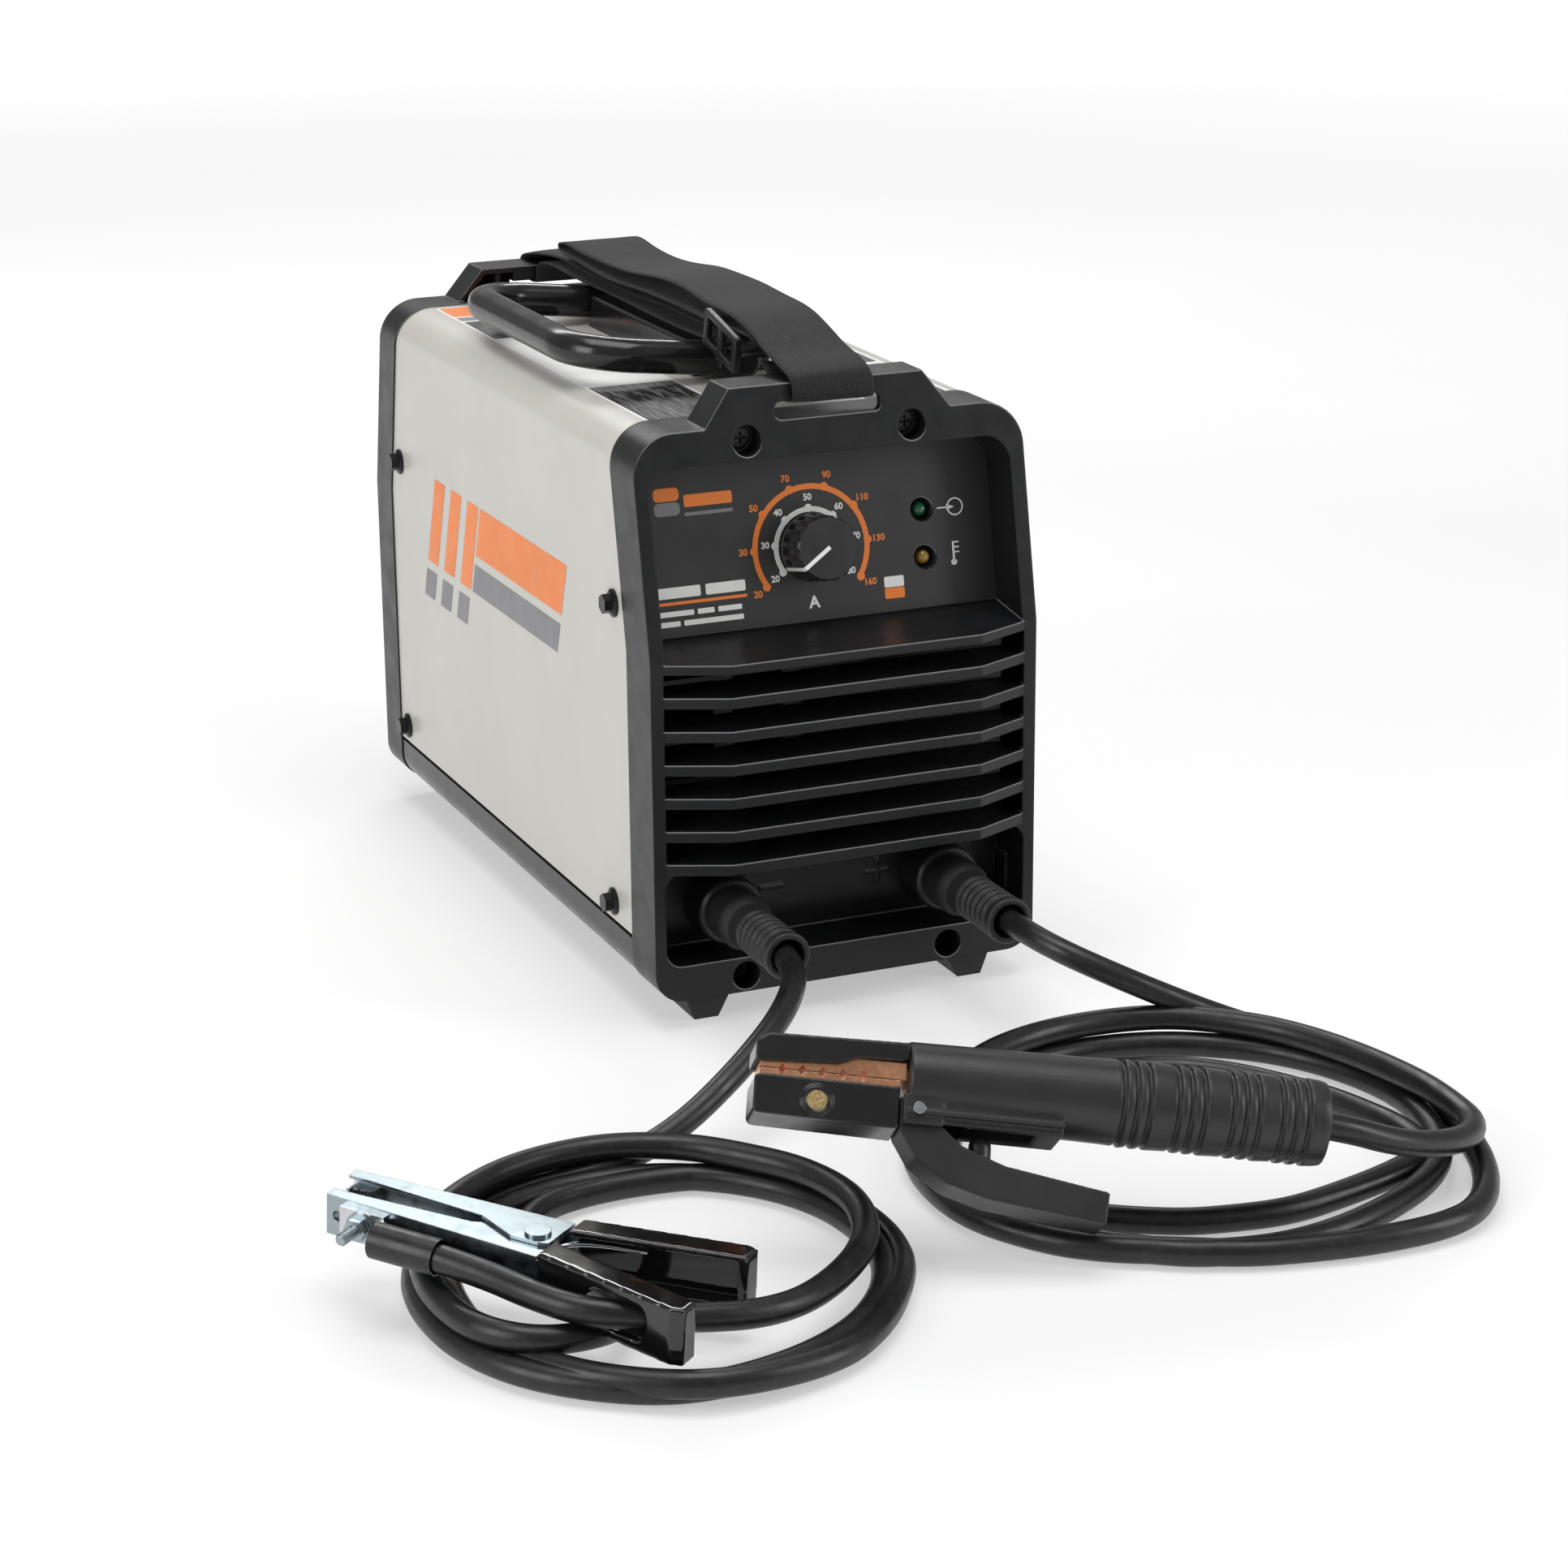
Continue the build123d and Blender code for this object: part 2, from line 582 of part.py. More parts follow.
def handle_base():
    """Moulded block on the cover, with a screw post under each end."""
    low, high = HANDLE_Y - BLOCK_HALF_Y, HANDLE_Y + BLOCK_HALF_Y
    top = SHOULDER_Z - COVER_INSET
    side = [(-BLOCK_HALF_X, top), (BLOCK_HALF_X, top), (BLOCK_HALF_X - 2.0, BLOCK_TOP), (2.0 - BLOCK_HALF_X, BLOCK_TOP)]
    block = along_y(rounded(side, [0, 0, 3.0, 3.0]), low, high)
    for y in (low + 3.0, high - 3.0):
        block -= box((-30, 30), (y - 0.8, y + 0.8), (BLOCK_TOP - 1.2, BLOCK_TOP + 1))
    for y in (HANDLE_Y - 50.0, HANDLE_Y + 50.0):
        block += rod_z(2.5, top - 14.0, top, 0.0, y)
    for inner, outer in ((low + 20.0, low - 1), (high - 20.0, high + 1)):
        block -= rod_y(3.0, min(inner, outer), max(inner, outer), 0, HANDLE_PIVOT_Z)
    return block


def handle_pins():
    """Headed pins pressed into the block, one per eye."""
    pin = rod_y(3.0, ARM_FRONT - 7.0, HANDLE_Y - BLOCK_HALF_Y + 20.0, 0, HANDLE_PIVOT_Z)
    pin += rod_y(5.0, ARM_FRONT - 9.5, ARM_FRONT - 7.0, 0, HANDLE_PIVOT_Z)
    return group(pin, Pos(0, 2 * HANDLE_Y, 0) * mirror(pin, Plane.XZ))


STRAP_TOP = [
    (-150.0, 301.5), (-144.0, 306.0), (-128.0, 305.0), (-109.0, 313.0), (-78.0, 313.0), (-24.5, 316.0),
    (50.0, 309.0), (90.0, 310.5), (114.0, 312.0), (150.0, 301.5),
]
STRAP_UNDER = [
    (150.0, 291.5), (120.0, 293.5), (94.0, 294.5), (60.0, 293.0), (0.0, 293.0), (-55.0, 293.0), (-90.0, 294.5),
    (-120.0, 291.5), (-150.0, 291.5),
]


def strap_loop():
    """The end of the strap round the tower's top bar."""
    outer = [(-150, 301.5), (-177.0, 297.5), (-181.5, 292.5), (-183.0, 281.0), (-154.7, 281.0), (-154.7, 289.0),
             (-150, 291.5)]
    return along_x(polygon(outer) - polygon([(-181.2, 283.6), (-180.2, 292.4), (-156.5, 292.4), (-156.5, 283.6)]),
                   *STRAP_X)


def shoulder_strap():
    """The folded webbing strap as one soft bundle between the two towers."""
    bundle = along_x(polygon(STRAP_TOP + STRAP_UNDER), *STRAP_X)
    return bundle + strap_loop() + mirror(strap_loop(), Plane.XZ)


def strap_slider():
    """Three-bar slider standing on edge at the strap's left side."""
    ends = [(-88.5, 303.0), (-126.0, 294.5)]
    low, high = 10.0, 10.0
    corners = [(ends[0][0], ends[0][1] - low), (ends[0][0], ends[0][1] + high),
               (ends[1][0], ends[1][1] + high), (ends[1][0], ends[1][1] - low)]
    plate = along_x(rounded(corners, [3.0] * 4), -26.0, -22.0)
    for share in (0.3, 0.7):
        y = ends[0][0] + share * (ends[1][0] - ends[0][0])
        z = ends[0][1] + share * (ends[1][1] - ends[0][1])
        plate -= box((-30, -20), (y - 4.0, y + 4.0), (z - 6.5, z + 6.5))
    return plate


# ---- work clamp: x from nose to grips, y across, z along the rivet ------------------------------------------------------
RIVET_X = 88.0
BARREL_Y = -20.5
CLAMP_TAIL = [
    (51.0, BARREL_Y, 0.0),
    (78.0, -22.6, 0.0),
    (102.0, -28.4, 0.0),
    (124.0, -29.9, 0.0),
    (145.0, -20.0, -1.0),
    (162.0, -6.0, -3.0),
    (178.0, 12.0, -5.0),
]
WORK_TAIL = [(-158.0, -516.0, 17.5), (-138.0, -500.0, 16.5)]  # on the coil


NEAR_TONGUE, FAR_TONGUE = 118.0, 156.0
TONGUE_HALF = 7.0
TONGUE_SLOPE = 0.2139


def jaw(height, flange, plan, tongue_end):
    """Pressed steel half: web, a flange along each edge and a tongue into the grip."""
    web = [(0, -10.6), (96, -14.6), (96, -13.1), (0, -9.1)]
    half = along_z(polygon(web), -height, height)
    for low in (-height, height - flange):
        half += along_z(polygon(plan), low, low + flange)
    drop = TONGUE_SLOPE * (tongue_end - 96.0)
    tongue = [(95.9, -14.6), (96, -14.6), (tongue_end, -14.6 - drop), (tongue_end, -13.1 - drop), (96, -13.1),
              (95.9, -13.1)]
    return half + along_z(polygon(tongue), -TONGUE_HALF, TONGUE_HALF)


def clamp_near_half():
    plan = [(0, -10.6), (96, -14.6), (96, 5.5), (92, 7), (80, 7), (60, -2), (10, -5), (0, -5)]
    half = jaw(8.4, 1.5, plan, NEAR_TONGUE)
    half -= rod_z(3.0, -20, 20, RIVET_X, 0)
    half -= rod_y(2.5, -20, 0, 17.5, 0)
    half -= rod_y(2.2, -20, 0, 5.0, 0)
    return half


def clamp_far_half():
    plan = [(0, -10.6), (96, -14.6), (96, 5.5), (92, 7), (80, 7), (62, -2), (10, -5), (0, -5)]
    half = jaw(10.0, 1.4, plan, FAR_TONGUE)
    half -= rod_z(3.05, -20, 20, RIVET_X, 0)
    return mirror(half, Plane.XZ)


def grip(tongue_end):
    """Dipped plastic over the tongue: a channel with a rounded end, closed round the steel inside it."""
    outer = [(98, -17.5), (162, -31.2), (167, -29.5), (167, -20), (98, -5)]
    channel = along_z(polygon(outer), -11.5, 11.5)
    inner = [(97, -12.5 - TONGUE_SLOPE), (163.4, -12.5 - TONGUE_SLOPE * 67.4), (163.4, 0), (97, 5)]
    channel -= along_z(polygon(inner), -8.8, 8.8)
    drop = TONGUE_SLOPE * (tongue_end - 96.0)
    tongue = [(96, -14.6), (tongue_end, -14.6 - drop), (tongue_end, -13.1 - drop), (96, -13.1)]
    return channel - along_z(polygon(tongue), -TONGUE_HALF, TONGUE_HALF)


def clamp_near_grip():
    slot = rounded([(122, -7.2), (150, -7.2), (150, 7.2), (122, 7.2)], [5.0] * 4)
    return grip(NEAR_TONGUE) - along_y(slot, -40.0, -14.0)


def clamp_far_grip():
    return mirror(grip(FAR_TONGUE), Plane.XZ)


def clamp_rivet():
    rivet = rod_z(3.0, -10.2, 10.2, RIVET_X, 0)
    for side in (-1, 1):
        low, high = sorted((side * 10.05, side * 11.4))
        rivet += rod_z(5.2, low, high, RIVET_X, 0)
    return rivet


def spring_rings(radius, wire, turns, x, y):
    """A close-wound spring round a pin, kept as one wire."""
    pitch = 2.0 * wire + 0.25
    height = pitch * turns
    path = Helix(pitch, height, radius)
    wire_start = Plane(origin=path @ 0, z_dir=path % 0)
    return Pos(x, y, -height / 2) * sweep(wire_start * Circle(wire), path=path)


def clamp_spring():
    return spring_rings(6.4, 1.0, 4, RIVET_X, 0)


def clamp_pad():
    pad = along_z(polygon([(1, -9.14), (12.4, -9.62), (12.4, -5.2), (10, -2.4), (1, -1.2)]), -6.4, 6.4)
    for x in (3.5, 6.5, 9.5):
        pad -= along_z(polygon([(x - 1, -0.5), (x, -3.6), (x + 1, -0.5)]), -9, 9)
    return pad - rod_y(2.6, -9.9, -7.0, 5.0, 0)


def clamp_near_pad():
    return clamp_pad()


def clamp_far_pad():
    return mirror(clamp_pad(), Plane.XZ)


def clamp_terminal_bolt():
    """Hex bolt from inside the web, through the lug, with a washer, a nut and some thread to spare outside."""
    points = [(0, 4.8), (2.5, 4.8), (2.5, 18.6)]
    for i in range(8):
        start = 18.6 + 1.1 * i
        points += [(2.5, start + 0.2), (2.05, start + 0.7), (2.5, start + 1.1)]
    points += [(1.9, 28.2), (0, 28.2)]
    bolt = Pos(17.5, 0, 0) * Rot(90, 0, 0) * turned(points)
    bolt += rod_y(5.9, -15.0, -14.0, 17.5, 0)
    bolt += Pos(17.5, -15.0, 0) * Rot(90, 0, 0) * extrude(RegularPolygon(4.8, 6), 3.6)
    bolt += Pos(17.5, -5.6, 0) * Rot(90, 0, 0) * extrude(RegularPolygon(4.6, 6), 3.2)
    return bolt


def work_cable_lug():
    """Crimp lug: flat palm under the bolt, barrel over the cable's end."""
    palm = along_z(polygon([(8, -10.94), (28, -11.78), (28, -14.0), (8, -14.0)]), -6.4, 6.4)
    neck = along_z(polygon([(27, -11.9), (27, -14.0), (31, -22), (31, -16)]), -5.0, 5.0)
    lug = palm + neck + rod_x(6.0, 30.0, 50.0, BARREL_Y, 0)
    return lug - rod_y(2.5, -20, 0, 17.5, 0)


def work_lug_sleeve():
    sleeve = rod_x(7.2, 28.5, 57.0, BARREL_Y, 0) - work_cable_lug()
    return sleeve - rod_x(6.6, 50.0, 60.0, BARREL_Y, 0)


# ---- electrode holder: x from collar to cable, lever on -y, z along its pivot ----------------------------------------------
PIVOT = (4.0, -14.0)
CABLE_STOP = HOLDER_L - 24.0
HOLDER_TAIL = [
    (108.0, -510.0, 30.0),
    (144.0, -496.0, 20.0),
    (163.0, -478.0, 17.0),
    (168.0, -452.0, 17.0),
]


def holder_handle():
    """Hollow grip with three groups of rings, a flat under it and cheeks that carry the lever."""
    points = [(0, 0), (15.2, 0), (15.8, 1.0), (17.0, 78)]
    for start in (84.0, 106.0, 128.0, 148.0):
        for i in range(3):
            x = start + 5.2 * i
            points += [(17.2, x), (16.1, x + 0.5), (16.1, x + 1.7), (17.6, x + 2.2), (17.6, x + 3.6)]
    points += [(17.2, HOLDER_L - 2.5), (16.6, HOLDER_L), (13.4, HOLDER_L), (12.8, CABLE_STOP), (0, CABLE_STOP)]
    handle = Rot(0, 90, 0) * turned(points)
    handle += box((0, 62), (-16.2, -14.2), (-15.0, 15.0))
    handle += box((0, 62), (-19.0, -8.0), (-12.0, 12.0))
    for side in (-1, 1):
        handle += box((-2.0, 14.0), (-20.0, -8.0), sorted((side * 10.2, side * 13.0)))
    handle -= box((-10.0, 24.0), (-40.0, -6.6), (-10.1, 10.1))
    handle -= box((20.0, 52.0), (-40.0, -7.0), (-8.0, 8.0))
    handle -= rod_z(2.5, -20, 20, *PIVOT)
    handle -= box((-1.0, 12.0), (-1.6, 3.4), (-6.0, 6.0))
    return handle


def teeth(plate, y, side):
    """Cross grooves that grip the electrode, cut into the face at y."""
    for x in (-50.0, -42.0, -34.0, -26.0, -18.0):
        plate -= along_z(polygon([(x - 2.4, y - side), (x, y + 2.2 * side), (x + 2.4, y - side)]), -12, 12)
    return plate


def holder_far_jaw():
    plate = box((-59.0, -1.0), (-1.8, 5.0), (-8.4, 8.4)) + box((-2.0, 12.0), (-1.6, 3.4), (-6.0, 6.0))
    return teeth(plate, -1.8, 1.0)


def holder_far_insulator():
    side = [(-61, 0.6), (-58, 0.2), (-28, 2.0), (-20, 5.0), (0, 5.6), (0, 13.0), (-56, 11.6), (-61, 8.0)]
    cover = along_z(rounded(side, [1, 1, 3, 3, 0, 0, 3, 2]), -10.6, 10.6)
    return cover - box((-59.0, 1.0), (-5.0, 5.0), (-8.4, 8.4)) - box((-2.0, 1.0), (4.9, 5.8), (-12, 12))


def holder_near_jaw():
    return teeth(box((-59.0, -3.0), (-8.0, -2.2), (-8.4, 8.4)), -2.2, -1.0)


def holder_near_insulator():
    side = [(-61, -5.2), (-61, -21.0), (-3.4, -22.0), (-3.4, -5.2)]
    block = along_z(rounded(side, [2.5, 2.5, 0, 0]), -11.0, 11.0)
    block -= box((-59.0, 0.0), (-8.0, 0.0), (-8.4, 8.4))
    block += rod_z(6.0, 10.0, 12.2, -36.0, -14.2)
    block -= rod_z(4.2, 10.2, 15.0, -36.0, -14.2)
    return block - rod_z(2.0, -5.0, 15.0, -36.0, -14.2)


def holder_screw():
    screw = rod_z(4.1, 10.2, 11.6, -36.0, -14.2) + rod_z(2.0, -5.0, 10.4, -36.0, -14.2)
    for angle in (20.0, 110.0):
        slot = Rot(0, 0, angle) * box((-2.4, 2.4), (-0.5, 0.5), (10.8, 12.0))
        screw -= Pos(-36.0, -14.2, 0) * slot
    return screw


def holder_lever():
    """Curved thumb lever with a squared end and a domed peg that goes into the handle's pocket."""
    side = [(-3, -9.0), (-3, -22.0), (4, -33), (18, -42), (34, -46.5), (81, -52), (82, -39), (40, -32.5), (22, -26),
            (13, -18), (10.6, -10.5), (6, -7.4)]
    lever = along_z(rounded(side, [0, 0, 8, 12, 10, 1, 1, 6, 6, 6, 2, 2]), -9.8, 9.8)
    lever += Pos(31.0, -27.5, 0) * Rot(90, 0, 0) * Cylinder(4.6, 7.0)
    dome = Pos(31.0, -24.0, 0) * Sphere(4.6)
    lever += dome
    lever -= rod_z(2.55, -20, 20, *PIVOT)
    return lever - rod_z(6.2, -3.6, 3.6, *PIVOT)


def holder_pivot():
    return rod_z(2.5, -14.9, 14.9, *PIVOT)


# ---- inside and at the back -----------------------------------------------------------------------------------------------
BOARD_Z = 30.0


def main_board():
    """Power board on four posts from the base pan."""
    board = box((-82, 82), (-125, 140), (BOARD_Z, BOARD_Z + 1.6))
    for x in (-72, 72):
        for y in (-115, 130):
            board += rod_z(3.5, CASE_BOTTOM + 2.1, BOARD_Z, x, y)
    return board


def heatsinks():
    """Two finned extrusions standing on the board."""
    fins = box((-5, 5), (-95, 70), (BOARD_Z + 1.6, 150))
    for i in range(9):
        z = 62.0 + 10.0 * i
        fins += box((5, 40), (-95, 70), (z, z + 2.4))
    right = Pos(18, 0, 0) * fins
    return group(right, mirror(right, Plane.YZ))


def transformer():
    core = box((-36, 36), (88, 128), (BOARD_Z + 1.6, 92)) - box((-24, 24), (80, 135), (44, 80))
    winding = box((-23, 23), (76, 138), (45, 79)) - box((-10, 10), (70, 145), (56, 68))
    return group(core + box((-9, 9), (88, 128), (44, 80)) - box((-9.5, 9.5), (88, 128), (56.5, 67.5)), winding)


def capacitors():
    cans = []
    for x in (-55, 55):
        for y in (92, 122):
            cans.append(rod_z(13.0, BOARD_Z + 1.6, BOARD_Z + 47.0, x, y))
    return group(*cans)


def fan_frame():
    frame = box((-43.5, 43.5), (185.0, 209.7), (FAN_Z - 43.5, FAN_Z + 43.5))
    frame -= rod_y(41.0, 180, 215, 0, FAN_Z)
    for angle in (45, 135):
        frame += Pos(0, 187, FAN_Z) * Rot(0, angle, 0) * Box(92, 4, 5)
    frame &= box((-43.5, 43.5), (185.0, 209.7), (FAN_Z - 43.5, FAN_Z + 43.5))
    return frame + rod_y(17.0, 185, 189, 0, FAN_Z) - rod_y(3.05, 180, 195, 0, FAN_Z)


def fan_rotor():
    rotor = rod_y(16.0, 190, 207, 0, FAN_Z) + rod_y(3.0, 185.5, 195, 0, FAN_Z)
    for i in range(7):
        blade = Pos(27.5, 198.5, 0) * Rot(32, 0, 0) * Box(24.5, 17.0, 1.6)
        rotor += Pos(0, 0, FAN_Z) * Rot(0, 360.0 / 7 * i, 0) * blade
    return rotor


def power_switch_housing():
    """Square rocker switch set in the rear wall."""
    x, z = -SWITCH_AT[0], SWITCH_AT[1]
    housing = box((x - 12, x + 12), (KINK_Y, KINK_Y + 2.0), (z - 16, z + 16))
    housing += box((x - 10.1, x + 10.1), (KINK_Y - 24, KINK_Y), (z - 14.1, z + 14.1))
    housing -= box((x - 7.6, x + 7.6), (KINK_Y - 10, KINK_Y + 5), (z - 12.2, z + 12.2))
    return housing - rod_x(1.5, x - 9.5, x + 9.5, KINK_Y - 3.0, z)


def power_rocker():
    x, z = -SWITCH_AT[0], SWITCH_AT[1]
    side = [(-1.5, -10.0), (5.2, -11.0), (2.6, 0.0), (5.2, 11.0), (-1.5, 10.0), (-4.5, 0.0)]
    key = along_x(Pos(2.0, 0) * polygon(side), x - 7.4, x + 7.4)
    return Pos(0, KINK_Y - 3.0, z) * Rot(-10, 0, 0) * (key + rod_x(1.45, x - 9.4, x + 9.4, 0, 0))


def mains_inlet():
    """Appliance inlet: shroud with its recess, and a flange outside the wall."""
    x, z = -GLAND_AT[0], GLAND_AT[1]
    inlet = rod_y(13.5, KINK_Y, KINK_Y + 3.0, x, z) + rod_y(10.0, KINK_Y - 22, KINK_Y, x, z)
    return inlet - rod_y(8.4, KINK_Y - 16, KINK_Y + 5, x, z)


def inlet_pins():
    x, z = -GLAND_AT[0], GLAND_AT[1]
    pins = []
    for angle in (90, 210, 330):
        turn = math.radians(angle)
        pins.append(rod_y(1.4, KINK_Y - 16, KINK_Y - 3, x + 4.8 * math.cos(turn), z + 4.8 * math.sin(turn)))
    return group(*pins)


# ---- write one file per node -----------------------------------------------------------------------------------------------
FIXED = [
    front_panel, rear_panel, case_cover, base_pan, feet, cover_screws, panel_screws, control_label, amperage_knob,
    knob_pointer, potentiometer, led_lens_power, led_lens_fault, led_bezels, output_socket_shells,
    output_socket_contacts, positive_plug_boot, positive_plug_pin, negative_plug_boot, negative_plug_pin,
    work_lead_coil, electrode_lead_coil, work_lead_tube, electrode_lead_tube, work_lead_tail, electrode_lead_tail,
    carry_handle, handle_base, handle_pins, shoulder_strap, strap_slider, main_board, heatsinks, transformer,
    capacitors, fan_frame, fan_rotor, power_switch_housing, power_rocker, mains_inlet, inlet_pins,
]
CLAMP = [
    clamp_near_half, clamp_far_half, clamp_near_grip, clamp_far_grip, clamp_rivet, clamp_spring, clamp_near_pad,
    clamp_far_pad, clamp_terminal_bolt, work_cable_lug, work_lug_sleeve,
]
HOLDER = [
    holder_handle, holder_far_jaw, holder_far_insulator, holder_near_jaw, holder_near_insulator, holder_screw,
    holder_lever, holder_pivot,
]


def write(name, shape):
    solids = shape.solids()
    node = solids[0] if len(solids) == 1 else Compound(children=solids)
    export_step(node, os.path.join("parts", name + ".step"))


os.makedirs("parts", exist_ok=True)
for make in FIXED:
    write(make.__name__, make())
for make in CLAMP:
    write(make.__name__, clamp_place() * make())
for make in HOLDER:
    write(make.__name__, holder_place() * make())
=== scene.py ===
"""Stick welder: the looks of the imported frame, its two leads, its strap and its printed and dipped details.

Lengths are in millimetres and are turned into metres as they reach Blender.
"""

import json
import math

import bmesh
import bpy
from mathutils import Matrix, Vector


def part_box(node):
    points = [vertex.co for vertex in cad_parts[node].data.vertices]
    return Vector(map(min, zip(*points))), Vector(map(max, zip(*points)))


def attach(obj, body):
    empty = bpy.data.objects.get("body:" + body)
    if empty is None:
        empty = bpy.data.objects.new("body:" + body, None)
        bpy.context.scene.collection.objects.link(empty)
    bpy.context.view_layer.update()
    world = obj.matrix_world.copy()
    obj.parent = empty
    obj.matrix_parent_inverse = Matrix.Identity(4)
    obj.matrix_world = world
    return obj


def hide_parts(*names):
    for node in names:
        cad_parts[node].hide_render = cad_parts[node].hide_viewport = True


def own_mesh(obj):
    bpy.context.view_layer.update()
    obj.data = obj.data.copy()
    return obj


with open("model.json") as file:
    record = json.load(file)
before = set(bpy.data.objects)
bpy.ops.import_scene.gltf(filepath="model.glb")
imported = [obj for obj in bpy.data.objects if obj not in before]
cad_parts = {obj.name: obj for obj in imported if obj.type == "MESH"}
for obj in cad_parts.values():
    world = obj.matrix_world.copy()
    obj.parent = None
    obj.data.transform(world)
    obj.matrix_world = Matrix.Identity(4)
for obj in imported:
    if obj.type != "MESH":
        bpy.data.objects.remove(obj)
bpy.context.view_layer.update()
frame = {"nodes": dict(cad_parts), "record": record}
nodes = frame["nodes"]
scene = bpy.context.scene
scene.view_settings.view_transform = "Standard"
MM = 0.001


def metres(point):
    return Vector(point) * MM


# ---- camera ----------------------------------------------------------------------------------------------
CAMERA_AT = (-672.751, -1693.823, 635.081)
CAMERA_RIGHT = Vector((0.917900, -0.396735, -0.007826))
CAMERA_FORWARD = Vector((0.375446, 0.874691, -0.306523))
SENSOR, LENS = 36.0, 86.09


def add_camera():
    up = CAMERA_RIGHT.cross(CAMERA_FORWARD)
    turn = Matrix((CAMERA_RIGHT, up, -CAMERA_FORWARD)).transposed().to_4x4()
    camera = bpy.data.objects.new("camera", bpy.data.cameras.new("camera"))
    camera.data.sensor_width = SENSOR
    camera.data.lens = LENS
    camera.data.clip_end = 100.0
    camera.matrix_world = Matrix.Translation(metres(CAMERA_AT)) @ turn
    scene.collection.objects.link(camera)
    scene.camera = camera


# ---- materials -------------------------------------------------------------------------------------------
def socket_color(rgb):
    return (rgb[0], rgb[1], rgb[2], 1.0)


class Surface:
    """A Principled material with small helpers for its procedural textures."""

    def __init__(self, name, metallic=0.0, coat=0.0, sheen=0.0, specular=0.5):
        self.material = bpy.data.materials.new(name)
        self.material.use_nodes = True
        self.tree = self.material.node_tree
        self.shader = self.tree.nodes["Principled BSDF"]
        self.shader.inputs["Metallic"].default_value = metallic
        self.shader.inputs["Coat Weight"].default_value = coat
        self.shader.inputs["Coat Roughness"].default_value = 0.08
        self.shader.inputs["Sheen Weight"].default_value = sheen
        self.shader.inputs["Specular IOR Level"].default_value = specular
        self.place = self.tree.nodes.new("ShaderNodeTexCoord").outputs["Object"]

    def link(self, source, target):
        self.tree.links.new(source, target)

    def stretched(self, scale, rotation=(0, 0, 0)):
        mapping = self.tree.nodes.new("ShaderNodeMapping")
        mapping.inputs["Scale"].default_value = scale
        mapping.inputs["Rotation"].default_value = rotation
        self.link(self.place, mapping.inputs["Vector"])
        return mapping.outputs["Vector"]

    def noise(self, scale, detail=3.0, place=None):
        noise = self.tree.nodes.new("ShaderNodeTexNoise")
        noise.inputs["Scale"].default_value = scale
        noise.inputs["Detail"].default_value = detail
        self.link(place or self.place, noise.inputs["Vector"])
        return noise.outputs["Fac"]

    def spread(self, source, low, high, start=0.3, end=0.7):
        spread = self.tree.nodes.new("ShaderNodeMapRange")
        values = (start, end, low, high)
        for name, value in zip(("From Min", "From Max", "To Min", "To Max"), values):
            spread.inputs[name].default_value = value
        self.link(source, spread.inputs["Value"])
        return spread.outputs["Result"]

    def maths(self, operation, first, second):
        node = self.tree.nodes.new("ShaderNodeMath")
        node.operation = operation
        for source, target in zip((first, second), node.inputs):
            if isinstance(source, (int, float)):
                target.default_value = source
            else:
                self.link(source, target)
        return node.outputs["Value"]

    def mixed(self, fac, dark, light):
        mix = self.tree.nodes.new("ShaderNodeMix")
        mix.data_type = "RGBA"
        self.link(fac, mix.inputs["Factor"])
        for source, target in zip((dark, light), (mix.inputs[6], mix.inputs[7])):
            if isinstance(source, tuple):
                target.default_value = socket_color(source)
            else:
                self.link(source, target)
        return mix.outputs[2]

    def worn_edges(self, radius):
        """1 beside edges that turn upward within `radius` mm, where a painted highlight lightens the colour,
        else 0.
        """
        bevel = self.tree.nodes.new("ShaderNodeBevel")
        bevel.samples = 6
        bevel.inputs["Radius"].default_value = radius * MM
        geometry = self.tree.nodes.new("ShaderNodeNewGeometry")
        turn = self.tree.nodes.new("ShaderNodeVectorMath")
        turn.operation = "SUBTRACT"
        self.link(bevel.outputs["Normal"], turn.inputs[0])
        self.link(geometry.outputs["Normal"], turn.inputs[1])
        split = self.tree.nodes.new("ShaderNodeSeparateXYZ")
        self.link(turn.outputs["Vector"], split.inputs["Vector"])
        return self.spread(split.outputs["Z"], 0.0, 1.0, 0.1, 0.35)

    def colour(self, source):
        self.link(source, self.shader.inputs["Base Color"])

    def roughness(self, source):
        self.link(source, self.shader.inputs["Roughness"])

    def relief(self, bumps, edge=0.0):
        """Stack (height, depth in mm) bumps over an edge rounding of `edge` mm."""
        normal = None
        if edge:
            bevel = self.tree.nodes.new("ShaderNodeBevel")
            bevel.samples = 4
            bevel.inputs["Radius"].default_value = edge * MM
            normal = bevel.outputs["Normal"]
        for height, depth in bumps:
            bump = self.tree.nodes.new("ShaderNodeBump")
            bump.inputs["Distance"].default_value = depth * MM
            self.link(height, bump.inputs["Height"])
            if normal:
                self.link(normal, bump.inputs["Normal"])
            normal = bump.outputs["Normal"]
        self.link(normal, self.shader.inputs["Normal"])


ORANGE, SOFT_WHITE, PRINT_GREY = (0.84, 0.21, 0.022), (0.78, 0.78, 0.76), (0.2, 0.2, 0.21)
# width in mm of the painted highlight along upper edges
HIGHLIGHT_WIDTH = 1.3
SMUDGE = 25.0
PATCHY = 0.06


def darker_and_lighter(rgb, vary):
    return tuple(c * (1.0 - vary) for c in rgb), tuple(min(1.0, c * (1.0 + vary)) for c in rgb)


